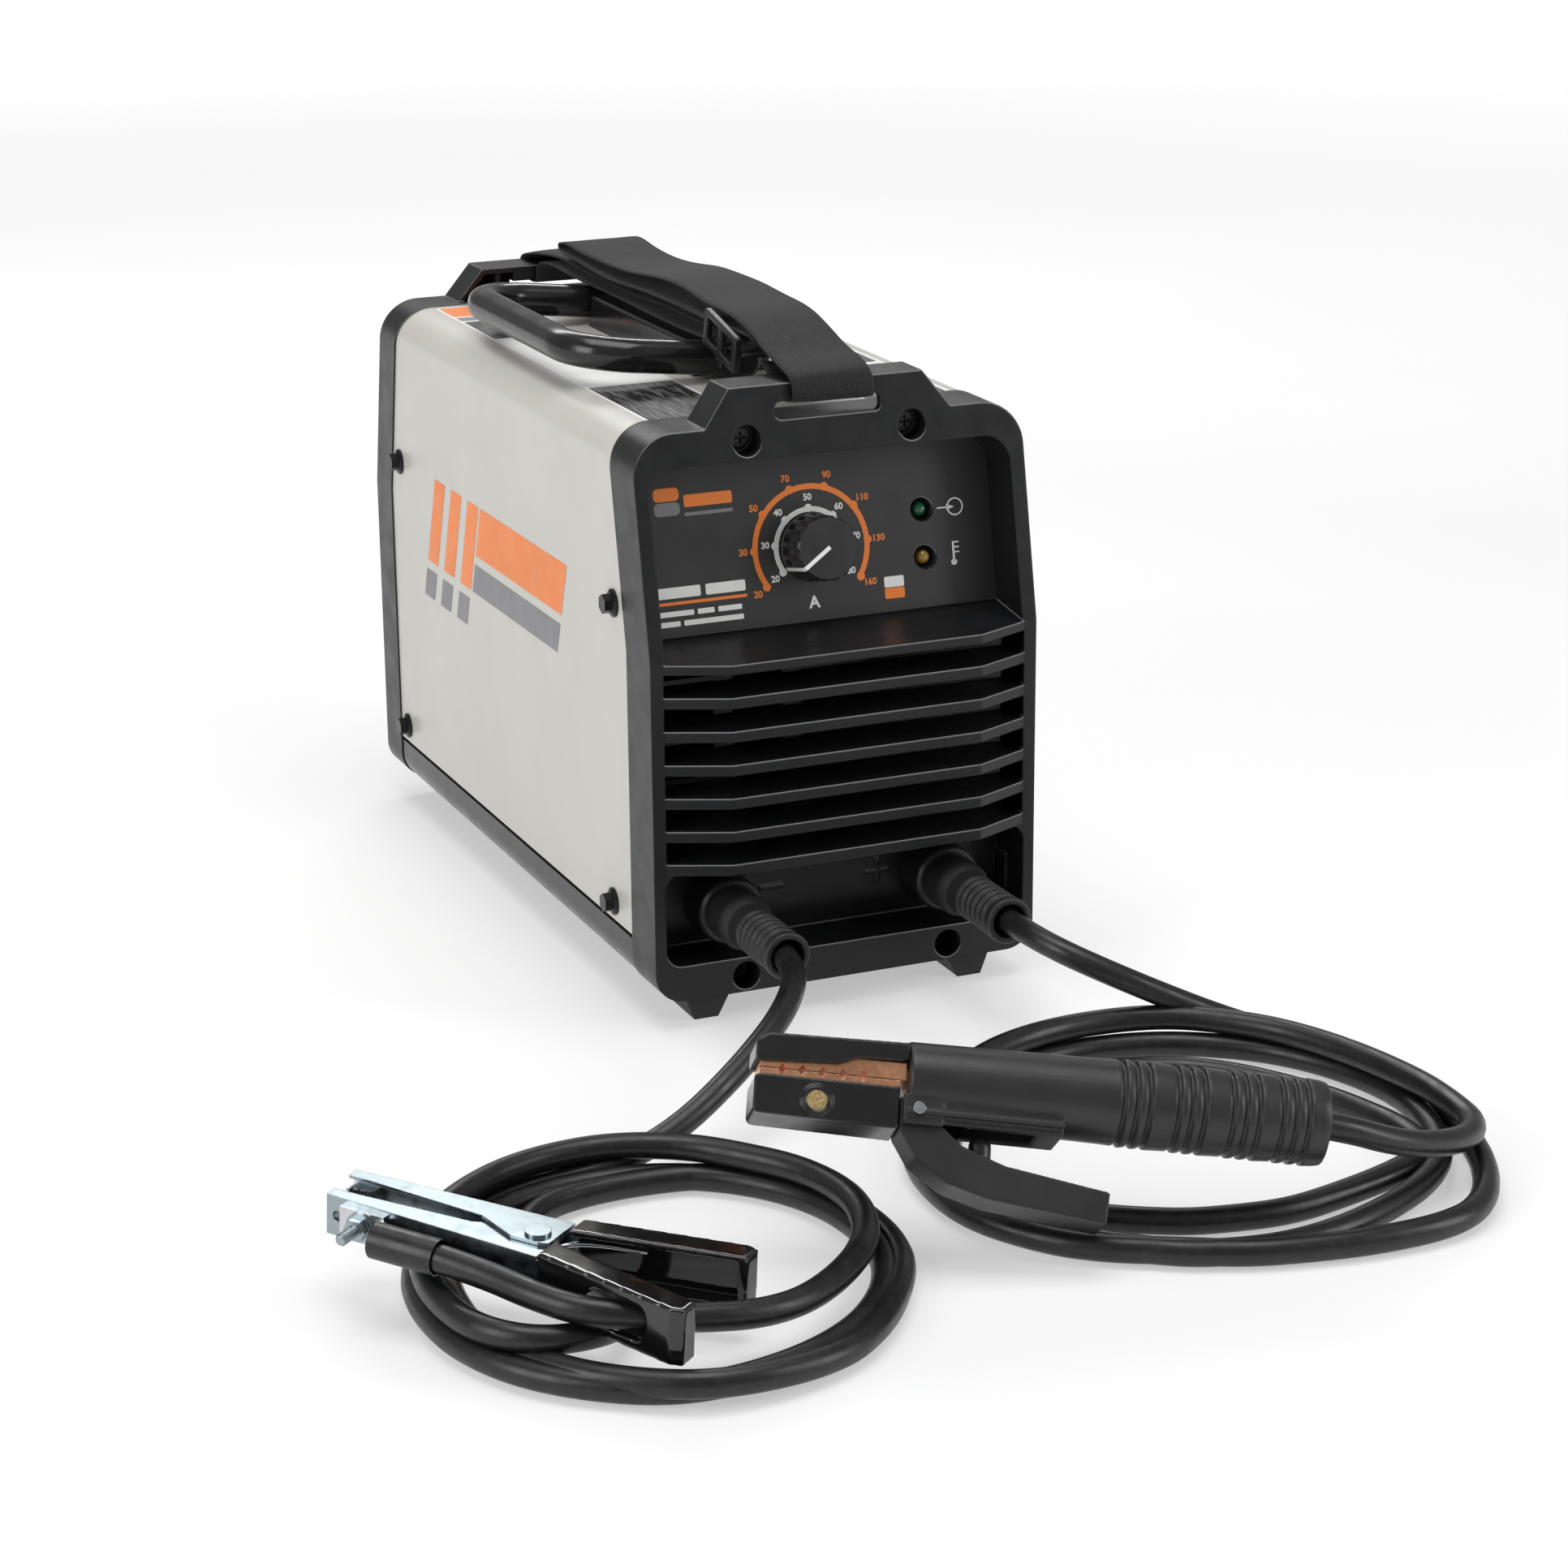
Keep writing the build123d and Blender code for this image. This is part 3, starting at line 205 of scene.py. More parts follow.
def plain(name, rgb, rough, grain=(900.0, 0.02), vary=0.12, edge=0.5, edge_highlight=None, **kind):
    """A material with cloudy colour, uneven roughness, fine grain and softened edges.

    The grain is (noise scale, depth in mm), and upper edges get a painted highlight in the colour given for
    it.
    """
    made = Surface(name, **kind)
    cloud = made.noise(SMUDGE, 4.0)
    dark, light = darker_and_lighter(rgb, vary)
    tone = made.mixed(made.spread(cloud, 0.0, 1.0), dark, light)
    # painted highlight: upper edges lightened towards the given colour
    if edge_highlight:
        tone = made.mixed(made.worn_edges(HIGHLIGHT_WIDTH), tone, edge_highlight)
    made.colour(tone)
    patch = made.noise(SMUDGE * 3.0, 5.0)
    made.roughness(made.spread(patch, rough - PATCHY, rough + PATCHY))
    made.relief([(made.noise(grain[0], 2.0), grain[1])], edge)
    return made.material


def brushed(name, rgb, rough, stretch, edge=0.3, vary=0.1, depth=0.01):
    """Bare metal whose fine marks are a noise stretched by `stretch`."""
    made = Surface(name, metallic=1.0)
    lines = made.noise(1.0, 4.0, made.stretched(stretch))
    cloud = made.noise(40.0, 3.0)
    dark, light = darker_and_lighter(rgb, vary)
    made.colour(made.mixed(made.spread(cloud, 0.0, 1.0), dark, light))
    made.roughness(made.spread(lines, rough - 0.08, rough + 0.1))
    made.relief([(lines, depth)], edge)
    return made.material


def webbing():
    """Herringbone of fine yarns; u runs across the strap and v along it, both in metres."""
    made = Surface("webbing", sheen=0.08, specular=0.2)
    made.shader.inputs["Sheen Roughness"].default_value = 0.4
    uv = made.tree.nodes.new("ShaderNodeUVMap")
    uv.uv_map = "weave"
    split = made.tree.nodes.new("ShaderNodeSeparateXYZ")
    made.link(uv.outputs["UV"], split.inputs["Vector"])
    across, along = split.outputs["X"], split.outputs["Y"]
    yarn, pick = 2.0 * math.pi / (1.5 * MM), 2.0 * math.pi / (1.1 * MM)
    ribs = made.maths("SINE", made.maths("MULTIPLY", across, yarn), 0.0)
    slant = made.maths("ADD", made.maths("MULTIPLY", along, pick), made.maths("MULTIPLY", ribs, 1.4))
    picks = made.maths("SINE", slant, 0.0)
    weave = made.maths("ADD", made.maths("MULTIPLY", ribs, 0.45), made.maths("MULTIPLY", picks, 0.55))
    height = made.spread(weave, 0.0, 1.0, -1.0, 1.0)
    fuzz = made.noise(2600.0, 2.0)
    lit = made.maths("MULTIPLY", height, made.spread(fuzz, 0.4, 1.6))
    made.colour(made.mixed(lit, (0.0015, 0.0015, 0.0017), (0.03, 0.03, 0.032)))
    made.roughness(made.spread(fuzz, 0.55, 0.85))
    made.relief([(made.noise(90.0, 2.0), 0.25), (height, 0.28)])
    return made.material


def cable_rubber():
    """Satin rubber sheath with faint scuffs and the slight lumps of the strands under it."""
    made = Surface("cable_rubber", specular=0.5)
    scuff = made.spread(made.noise(260.0, 6.0), 0.0, 1.0, 0.5, 0.75)
    made.colour(made.mixed(scuff, (0.007, 0.007, 0.0075), (0.016, 0.016, 0.017)))
    made.roughness(made.spread(made.noise(120.0, 4.0), 0.3, 0.44))
    made.relief([(made.noise(60.0, 2.0), 0.12), (made.noise(1400.0, 2.0), 0.012)])
    return made.material


def cover_paint():
    """Warm grey powder coat with a fine orange peel."""
    made = Surface("cover_paint", coat=0.15)
    cloud = made.spread(made.noise(12.0, 3.0), 0.0, 1.0)
    made.colour(made.mixed(cloud, (0.525, 0.51, 0.465), (0.56, 0.545, 0.5)))
    made.roughness(made.spread(made.noise(60.0, 5.0), 0.3, 0.38))
    made.relief([(made.noise(700.0, 2.0), 0.018)], 0.5)
    return made.material


def circuit_board():
    made = Surface("circuit_board", coat=0.3)
    tracks = made.tree.nodes.new("ShaderNodeTexBrick")
    tracks.inputs["Scale"].default_value = 90.0
    tracks.inputs["Color1"].default_value = socket_color((0.02, 0.16, 0.07))
    tracks.inputs["Color2"].default_value = socket_color((0.03, 0.22, 0.1))
    tracks.inputs["Mortar"].default_value = socket_color((0.35, 0.3, 0.12))
    made.link(made.place, tracks.inputs["Vector"])
    made.colour(tracks.outputs["Color"])
    made.roughness(made.spread(made.noise(80.0), 0.3, 0.5))
    made.relief([(tracks.outputs["Fac"], 0.05)], 0.2)
    return made.material


def winding():
    made = Surface("winding", metallic=0.6)
    wave = made.tree.nodes.new("ShaderNodeTexWave")
    wave.inputs["Scale"].default_value = 330.0
    wave.inputs["Distortion"].default_value = 0.3
    made.link(made.place, wave.inputs["Vector"])
    # painted shade in the grooves between the turns and painted highlight on their crowns, following the wave
    # that is also the relief
    made.colour(made.mixed(wave.outputs["Fac"], (0.2, 0.07, 0.02), (0.65, 0.3, 0.1)))
    made.roughness(made.spread(made.noise(150.0), 0.25, 0.45))
    made.relief([(wave.outputs["Fac"], 0.2)], 0.4)
    return made.material


def small_print(name, paper, ink, line_pitch, along, across):
    """A printed field of tiny unreadable grey rules, broken like lines of text."""
    made = Surface(name)
    split = made.tree.nodes.new("ShaderNodeSeparateXYZ")
    made.link(made.place, split.inputs["Vector"])
    frequency = 2.0 * math.pi / (line_pitch * MM)
    rows = made.maths("SINE", made.maths("MULTIPLY", split.outputs[across], frequency), 0.0)
    scale = [60.0, 60.0, 60.0]
    scale["XYZ".index(along)] = 900.0
    words = made.noise(1.0, 1.0, made.stretched(scale))
    lines = made.spread(rows, 0.0, 1.0, 0.2, 0.5)
    text = made.maths("MULTIPLY", lines, made.spread(words, 0.0, 1.0, 0.5, 0.56))
    made.colour(made.mixed(text, paper, ink))
    made.roughness(made.spread(made.noise(70.0), 0.3, 0.42))
    made.relief([(made.noise(900.0), 0.01)])
    return made.material


def lens(name, rgb):
    made = Surface(name, coat=0.6)
    made.shader.inputs["Transmission Weight"].default_value = 0.35
    cloud = made.spread(made.noise(500.0), 0.0, 1.0)
    made.colour(made.mixed(cloud, tuple(c * 0.7 for c in rgb), rgb))
    made.roughness(made.spread(made.noise(400.0), 0.12, 0.22))
    made.relief([(made.noise(900.0), 0.02)], 0.3)
    return made.material


def slot_materials():
    """One finished material for each material slot of the record."""
    return {
        # the bezel's upper edges are lightened to grey as a painted highlight
        "bezel_plastic": plain("bezel_plastic", (0.009, 0.0095, 0.0105), 0.34, (1100.0, 0.03), edge=1.4,
                               specular=0.3, edge_highlight=(0.3, 0.3, 0.31)),
        "cover_paint": cover_paint(),
        "black_metal": plain("black_metal", (0.008, 0.008, 0.0085), 0.22, (700.0, 0.012), specular=0.35),
        "black_rubber": plain("black_rubber", (0.014, 0.014, 0.014), 0.62, (500.0, 0.05), edge=1.0),
        "black_screw": plain("black_screw", (0.012, 0.012, 0.013), 0.28, (600.0, 0.03), edge=0.4,
                             metallic=0.6),
        "label_film": plain("label_film", (0.021, 0.0195, 0.019), 0.4, (1600.0, 0.02), 0.06, 0.1),
        "knob_plastic": plain("knob_plastic", (0.011, 0.011, 0.012), 0.36, (1200.0, 0.02), edge=0.5),
        "white_paint": plain("white_paint", SOFT_WHITE, 0.42, (900.0, 0.02), 0.04, 0.1),
        "steel": brushed("steel", (0.56, 0.57, 0.59), 0.2, (300.0,) * 3, 0.2),
        "green_lens": lens("green_lens", (0.015, 0.16, 0.07)),
        "amber_lens": lens("amber_lens", (0.5, 0.3, 0.035)),
        "socket_plastic": plain("socket_plastic", (0.015, 0.015, 0.016), 0.38, (900.0, 0.03), edge=0.6),
        "brass": brushed("brass", (0.74, 0.57, 0.28), 0.28, (500.0,) * 3, 0.3),
        "boot_rubber": plain("boot_rubber", (0.014, 0.014, 0.015), 0.46, (420.0, 0.06), edge=0.7),
        "cable_rubber": cable_rubber(),
        "handle_plastic": plain("handle_plastic", (0.009, 0.009, 0.01), 0.2, (500.0, 0.008), edge=0.6),
        "webbing": webbing(),
        "slider_plastic": plain("slider_plastic", (0.011, 0.011, 0.012), 0.4, (800.0, 0.03), edge=0.5),
        "zinc_steel": brushed("zinc_steel", (0.33, 0.385, 0.41), 0.26, (160.0,) * 3, 0.5, 0.05, 0.006),
        "dipped_vinyl": plain("dipped_vinyl", (0.006,) * 3, 0.07, (60.0, 0.06), edge=0.0, coat=0.4),
        "copper": brushed("copper", (0.87, 0.43, 0.24), 0.26, (420.0,) * 3, 0.3, 0.18, 0.05),
        "holder_plastic": plain("holder_plastic", (0.019, 0.019, 0.02), 0.4, (900.0, 0.03), edge=0.6),
        "holder_gloss": plain("holder_gloss", (0.011, 0.011, 0.012), 0.2, (260.0, 0.03), edge=1.3),
        "circuit_board": circuit_board(),
        "heatsink_alloy": brushed("heatsink_alloy", (0.1, 0.1, 0.105), 0.4, (900.0, 40.0, 900.0), 0.2),
        "winding": winding(),
        "capacitor_sleeve": plain("capacitor_sleeve", (0.02, 0.025, 0.07), 0.3, (300.0, 0.02), edge=0.6),
        "black_plastic": plain("black_plastic", (0.016, 0.016, 0.017), 0.42, (900.0, 0.03), edge=0.6),
        "red_plastic": plain("red_plastic", (0.5, 0.02, 0.015), 0.3, (900.0, 0.02), edge=0.6),
    }


def paint_nodes(finishes):
    """Give every carried-over CAD node the material of its slot."""
    for part in frame["record"]["subparts"]:
        mesh = nodes[part["node"]].data
        mesh.materials.clear()
        mesh.materials.append(finishes[part["material_slot"]])


# ---- making pieces ---------------------------------------------------------------------------------------
def add_piece(name, mesh, body, material):
    piece = bpy.data.objects.new(name, mesh)
    scene.collection.objects.link(piece)
    mesh.materials.append(material)
    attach(piece, body)
    return piece


def mesh_from(name, points, faces, smooth=False):
    """A mesh from points in millimetres and faces of their indices."""
    mesh = bpy.data.meshes.new(name)
    mesh.from_pydata([metres(p) for p in points], [], faces)
    mesh.update()
    if smooth:
        mesh.shade_smooth()
    return mesh


def taken_mesh(holder):
    """The finished mesh of a helper object, which is then removed."""
    depsgraph = bpy.context.evaluated_depsgraph_get()
    mesh = bpy.data.meshes.new_from_object(holder.evaluated_get(depsgraph))
    bpy.data.objects.remove(holder)
    return mesh


def applied(name, source, *modifiers):
    """A mesh after (kind, settings) modifiers have been applied to a mesh."""
    work = bpy.data.objects.new(name, source)
    scene.collection.objects.link(work)
    for kind, settings in modifiers:
        modifier = work.modifiers.new(kind, kind)
        for key, value in settings.items():
            setattr(modifier, key, value)
    return taken_mesh(work)


def rolled(name, source, voxel, passes):
    """A mesh remeshed at `voxel` mm and smoothed `passes` times, which rounds its edges."""
    remesh = ("REMESH", {"mode": "VOXEL", "voxel_size": voxel * MM})
    mesh = applied(name, source, remesh, ("SMOOTH", {"factor": 0.5, "iterations": passes}))
    mesh.shade_smooth()
    return mesh


def softened(node, body, material, voxel, passes):
    """Replace a CAD node by its own shape with rolled edges, as moulding or dipping leaves them."""
    source = nodes[node].data.copy()
    source.materials.clear()
    mesh = rolled(node + "_soft", source, voxel, passes)
    piece = add_piece(node + "_moulded", mesh, body, material)
    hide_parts(node)
    return piece


def extruded(outline, thickness):
    """Points and faces of a flat plate from z = 0 to z = thickness."""
    count = len(outline)
    points = [(x, y, 0.0) for x, y in outline] + [(x, y, thickness) for x, y in outline]
    faces = [tuple(reversed(range(count))), tuple(range(count, 2 * count))]
    for i in range(count):
        after = (i + 1) % count
        faces.append((i, after, after + count, i + count))
    return points, faces


def round_rectangle(low, high, radius, steps=5):
    """Outline of a rectangle with rounded corners, anticlockwise."""
    outline = []
    corners = ((high[0], low[1], -90), (high[0], high[1], 0), (low[0], high[1], 90), (low[0], low[1], 180))
    for x, y, start in corners:
        centre_x = x - radius if x == high[0] else x + radius
        centre_y = y - radius if y == high[1] else y + radius
        for i in range(steps + 1):
            angle = math.radians(start + 90.0 * i / steps)
            outline.append((centre_x + radius * math.cos(angle), centre_y + radius * math.sin(angle)))
    return outline


def bars(radius, *edges):
    """Rounded rectangles from (left, right, bottom, top) edges."""
    return [round_rectangle((left, bottom), (right, top), radius) for left, right, bottom, top in edges]


def arc_band(inner, outer, start, end, steps=48):
    """Outline of part of a ring between two angles in degrees."""
    angles = [math.radians(start + (end - start) * i / steps) for i in range(steps + 1)]
    edge = [(outer * math.cos(a), outer * math.sin(a)) for a in angles]
    return edge + [(inner * math.cos(a), inner * math.sin(a)) for a in reversed(angles)]


def disc(x, y, radius, steps=20):
    angles = [2.0 * math.pi * i / steps for i in range(steps)]
    return [(x + radius * math.cos(a), y + radius * math.sin(a)) for a in angles]


def plates_mesh(name, place, outlines, thickness):
    """Plates drawn in a plane's own x and y, joined in one mesh."""
    points, faces = [], []
    for outline in outlines:
        more_points, more_faces = extruded(outline, thickness)
        faces += [tuple(i + len(points) for i in face) for face in more_faces]
        points += more_points
    return mesh_from(name, [place @ Vector(p) for p in points], faces)


def plates(name, place, outlines, thickness, material):
    """A piece of thin plates on the case."""
    add_piece(name, plates_mesh(name, place, outlines, thickness), "case", material)


def plane_matrix(origin, x_axis, y_axis):
    x_axis, y_axis = Vector(x_axis).normalized(), Vector(y_axis).normalized()
    turn = Matrix((x_axis, y_axis, x_axis.cross(y_axis))).transposed().to_4x4()
    return Matrix.Translation(Vector(origin)) @ turn


def placed_at(at, turn, pitch, roll=0.0):
    """The matrix of a tool laid down as in the CAD: turn about Z, then pitch about Y, then roll about X."""
    angles = [math.radians(a) for a in (turn, pitch, roll)]
    turned = Matrix.Rotation(angles[0], 4, "Z") @ Matrix.Rotation(angles[1], 4, "Y")
    return Matrix.Translation(Vector(at)) @ turned @ Matrix.Rotation(angles[2], 4, "X")


CLAMP_PLACE = placed_at((-303.7, -394.5, 34.0), -50.2, 3.3)
HOLDER_PLACE = placed_at((-89.0, -452.5, 70.0), -19.3, 8.3, 53.0)


# ---- welding leads ---------------------------------------------------------------------------------------
CABLE_D = 11.3
TURN_STEP = 18.0
WORK_ROUTE = [
    (-55.0, -236.0, 51.0),
    (-55.0, -268.0, 51.0),
    (-73.0, -300.0, 45.0),
    (-107.0, -327.0, 32.0),
    (-146.0, -345.0, 15.0),
    (-184.0, -350.0, 6.2),
]
# turns of the coils as (degrees, radius, height) about a centre, followed round in even steps
WORK_CENTRE = (-190.0, -440.0)
WORK_TURNS = [
    (108, 90, 6), (140, 94, 6), (180, 98, 6), (225, 108, 6), (250, 112, 6), (270, 106, 6), (315, 94, 6),
    (360, 86, 6), (405, 85, 6), (450, 84, 6), (495, 84, 6), (540, 85, 6), (585, 101, 8), (620, 117, 10),
    (645, 111, 6.5), (665, 103, 6), (690, 97, 6), (720, 93, 6), (750, 92, 6), (780, 84, 6), (805, 76, 6),
]
WORK_HAIRPIN = [
    (-214, -371, 6), (-231, -393, 6), (-229, -424, 6), (-217, -455, 6.5), (-219, -485, 9), (-237, -505, 14),
    (-263, -506, 16), (-281, -487, 16.5), (-286, -459, 16.5), (-284, -432, 16.5),
]
TOP_CENTRE = (-186.0, -431.0)
WORK_TOP_TURN = [(-50, 84, 17), (-10, 82, 17), (40, 76, 17), (90, 84, 17), (135, 88, 17), (158, 93, 17)]
CLAMP_TAIL = [
    (51.0, -20.5, 0.0),
    (78.0, -22.6, 0.0),
    (102.0, -28.4, 0.0),
    (124.0, -29.9, 0.0),
    (145.0, -20.0, -1.0),
    (162.0, -6.0, -3.0),
    (178.0, 12.0, -5.0),
]
WORK_TAIL = [(-158.0, -516.0, 17.5)]
ELECTRODE_ROUTE = [
    (55.0, -236.0, 51.0),
    (55.0, -267.0, 51.0),
    (63.0, -291.0, 47.0),
    (82.0, -307.0, 38.0),
    (106.0, -314.0, 26.0),
    (131.0, -319.0, 14.0),
    (153.0, -332.0, 6.5),
]
ELECTRODE_CENTRE = (50.0, -425.0)
ELECTRODE_TURNS = [
    (31, 136, 6), (0, 127, 6), (-24, 126, 6), (-41, 130, 6), (-53, 132, 6), (-63, 127, 6), (-76, 117, 6),
    (-88, 110, 6), (-120, 102, 6), (-147, 110, 6), (-168, 114, 6), (-190, 112, 6), (-225, 110, 6),
    (-250, 112, 6), (-270, 114, 6), (-300, 119, 6), (-320, 121, 6), (-340, 119, 6), (-360, 117, 6),
    (-385, 112, 6), (-405, 106, 6), (-430, 101, 6), (-450, 103, 6), (-480, 105, 6), (-505, 104, 6),
    (-530, 101, 6), (-550, 98, 6), (-585, 96, 6), (-610, 92, 6), (-630, 90, 6), (-655, 89, 6), (-683, 86, 6),
    (-705, 88, 6), (-720, 92, 6), (-735, 100, 6.5), (-750, 104, 8), (-765, 92, 8), (-790, 77, 6),
    (-820, 73, 6), (-850, 76, 6), (-880, 85, 6), (-910, 96, 8), (-940, 106, 13), (-965, 111, 17),
    (-990, 118, 17), (-1015, 125, 17), (-1033, 121, 17), (-1046, 118, 17), (-1063, 115, 17),
    (-1082, 117, 17), (-1094, 120, 17),
]
HOLDER_TAIL = [(163.0, -478.0, 17.0), (144.0, -496.0, 20.0), (108.0, -510.0, 30.0)]
HOLDER_L = 168.7
LEAD_IN_HOLDER = (4.0, -24.0)


def round_about(centre, angle, radius, height):
    return (centre[0] + radius * math.cos(angle), centre[1] + radius * math.sin(angle), height)


def turns(centre, keys):
    """Points round a centre, in even steps of angle, between (degrees, radius, height) keys."""
    points = []
    for (a, r, z), (next_a, next_r, next_z) in zip(keys, keys[1:]):
        steps = max(1, round(abs(next_a - a) / TURN_STEP))
        for i in range(steps):
            share = i / steps
            angle = math.radians(a + (next_a - a) * share)
            radius = r + (next_r - r) * share
            height = z + (next_z - z) * share
            points.append(round_about(centre, angle, radius, height))
    angle, radius, height = keys[-1]
    return points + [round_about(centre, math.radians(angle), radius, height)]


def spline_object(name, route, resolution):
    """A curve object of one open NURBS spline whose control points are the route."""
    curve = bpy.data.curves.new(name, "CURVE")
    curve.dimensions = "3D"
    curve.resolution_u = resolution
    spline = curve.splines.new("NURBS")
    spline.points.add(len(route) - 1)
    for point, place in zip(spline.points, route):
        point.co = (*metres(place), 1.0)
    spline.order_u = 3
    spline.use_endpoint_u = True
    made = bpy.data.objects.new(name, curve)
    scene.collection.objects.link(made)
    return made


def add_lead(name, route, material):
    lead = spline_object(name, route, 10)
    lead.data.bevel_depth = CABLE_D / 2 * MM
    lead.data.bevel_resolution = 6
    lead.data.use_fill_caps = True
    lead.data.materials.append(material)
    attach(lead, "case")
    return lead


def add_leads(finishes):
    rubber = finishes["cable_rubber"]
    tail = [tuple(CLAMP_PLACE @ Vector(p)) for p in reversed(CLAMP_TAIL)]
    top_turn = list(reversed(turns(TOP_CENTRE, WORK_TOP_TURN)))
    route = WORK_ROUTE + turns(WORK_CENTRE, WORK_TURNS) + WORK_HAIRPIN + top_turn + WORK_TAIL + tail
    work = add_lead("work_lead", route, rubber)
    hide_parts("work_lead_tube", "work_lead_coil", "work_lead_tail")
    ends = [tuple(HOLDER_PLACE @ Vector((HOLDER_L + x, 0, 0))) for x in LEAD_IN_HOLDER]
    route = ELECTRODE_ROUTE + turns(ELECTRODE_CENTRE, ELECTRODE_TURNS) + HOLDER_TAIL + ends
    electrode = add_lead("electrode_lead", route, rubber)
    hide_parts("electrode_lead_tube", "electrode_lead_coil", "electrode_lead_tail")


# ---- shoulder strap --------------------------------------------------------------------------------------
STRAP_WIDTH, STRAP_THICK, STRAP_LENGTH = 40.0, 1.7, 1.41
STRAP_ACROSS = 12
# the middle line as (y, z, sideways shift), from the tucked end round the rear bar and back to the front
STRAP_LINE = [
    (-128, 294.2, 1), (-100, 296.0, 0), (-78, 295.2, 1), (-40, 295.0, 1), (0, 294.8, 0), (40, 295.0, 1),
    (90, 295.6, 1), (125, 296.2, 2), (148, 294.6, 2), (155.5, 290.5, 2), (156.0, 284.5, 2), (160, 282.3, 2),
    (177, 282.3, 2), (181.8, 284.5, 2), (181.2, 291.5, 2), (174, 295.8, 2), (152, 299.2, 2), (120, 300.5, 4),
    (85, 299.0, 3), (50, 299.4, 4), (15, 298.4, 3), (-20, 299.8, 4), (-60, 300.5, 3), (-95, 301.0, 4),
    (-122, 299.8, 4), (-133, 300.6, 4), (-134, 303.4, 3), (-124, 304.2, 2), (-95, 305.4, 0), (-60, 305.0, 1),
    (-25, 304.6, 0), (10, 304.0, 1), (45, 303.0, 0), (85, 304.0, 1), (112, 304.6, 1), (121, 306.4, 2),
    (120, 309.0, 2), (108, 310.2, 3), (85, 309.0, 2), (55, 307.6, 3), (25, 309.2, 2), (0, 312.2, 3),
    (-25, 314.0, 2), (-50, 313.2, 3), (-78, 311.6, 2), (-109, 311.0, 3), (-130, 306.2, 3), (-150, 300.3, 2),
    (-170, 296.9, 2), (-179, 294.2, 2), (-181.4, 289.5, 2), (-181.8, 284.6, 2), (-177, 282.3, 2),
    (-160, 282.3, 2), (-156.0, 284.5, 2), (-155.5, 290.0, 2), (-146, 294.8, 2),
]


def smooth_line(name, points):
    """Points along the order-3 NURBS spline of a line, in metres."""
    mesh = taken_mesh(spline_object(name, points, 5))
    line = [v.co.copy() for v in mesh.vertices]
    bpy.data.meshes.remove(mesh)
    return line


def ribbon_ring(centre, side, normal, share):
    """One section through the strap: a flat band with a slightly thicker, wavy selvedge."""
    ring = []
    half, thick = STRAP_WIDTH / 2 * MM, STRAP_THICK / 2 * MM
    for face in (1, -1):
        for i in range(STRAP_ACROSS + 1):
            u = face * (2.0 * i / STRAP_ACROSS - 1.0)
            ripple = 0.5 * MM * math.sin(share * 95.0 + 2.2 * u) * u * u
            bulge = thick * (1.0 - 0.45 * abs(u) ** 8)
            ring.append(centre + side * half * u + normal * (face * bulge + ripple))
    return ring


def add_strap(finishes):
    line = smooth_line("strap_line", [(x, y, z) for y, z, x in STRAP_LINE])
    points, faces, uvs = [], [], []
    run, size = 0.0, 2 * (STRAP_ACROSS + 1)
    side = Vector((1.0, 0.0, 0.0))
    travelled = []
    for i, here in enumerate(line):
        before, after = line[max(0, i - 1)], line[min(len(line) - 1, i + 1)]
        run += (here - before).length if i else 0.0
        travelled.append(run)
        forward = after - before
        forward.x = 0.0
        normal = forward.normalized().cross(side)
        points += [p / MM for p in ribbon_ring(here, side, normal, i / len(line))]
    for i in range(len(line) - 1):
        for j in range(size):
            k = (j + 1) % size
            faces.append((i * size + j, (i + 1) * size + j, (i + 1) * size + k, i * size + k))
            across = [STRAP_WIDTH * MM * min(a, size - 1 - a) / STRAP_ACROSS for a in (j, j, j + 1, j + 1)]
            uvs += list(zip(across, (travelled[i], travelled[i + 1], travelled[i + 1], travelled[i])))
    last = (len(line) - 1) * size
    faces += [tuple(reversed(range(size))), tuple(range(last, last + size))]
    mesh = mesh_from("shoulder_strap_web", points, faces, True)
    layer = mesh.uv_layers.new(name="weave")
    for loop, uv in zip(layer.data, uvs + [(0.0, 0.0)] * (2 * size)):
        loop.uv = uv
    strap = add_piece("shoulder_strap_web", mesh, "case", finishes["webbing"])
    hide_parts("shoulder_strap")
    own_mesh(strap)


SLIDER_ENDS = ((-88.5, 303.0), (-126.0, 294.5))
SLIDER_HALF, SLIDER_X = 8.1, (-22.8, -19.6)
SLIDER_BAR, SLIDER_RAIL, SLIDER_RAIL_AT, SLIDER_ROUND = 4.5, 3.5, 7.2, 1.6


def add_slider(finishes):
    """Three-bar slider on edge at the strap's left side, with rounded bars."""
    (front_y, front_z), (back_y, back_z) = SLIDER_ENDS
    along = Vector((0.0, back_y - front_y, back_z - front_z))
    length = along.length
    place = plane_matrix((SLIDER_X[0], front_y, front_z), along, Vector((1, 0, 0)).cross(along))
    outlines = []
    for side in (-SLIDER_RAIL_AT, SLIDER_RAIL_AT):
        low, high = side - SLIDER_RAIL / 2, side + SLIDER_RAIL / 2
        outlines.append(round_rectangle((0.0, low), (length, high), SLIDER_ROUND))
    for x in (0.0, (length - SLIDER_BAR) / 2, length - SLIDER_BAR):
        outlines.append(round_rectangle((x, -SLIDER_HALF), (x + SLIDER_BAR, SLIDER_HALF), SLIDER_ROUND))
    mesh = plates_mesh("slider", place, outlines, SLIDER_X[1] - SLIDER_X[0])
    mesh = rolled("slider", mesh, 0.5, 4)
    slider = add_piece("strap_slider_moulded", mesh, "case", finishes["slider_plastic"])
    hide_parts("strap_slider")
    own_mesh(slider)


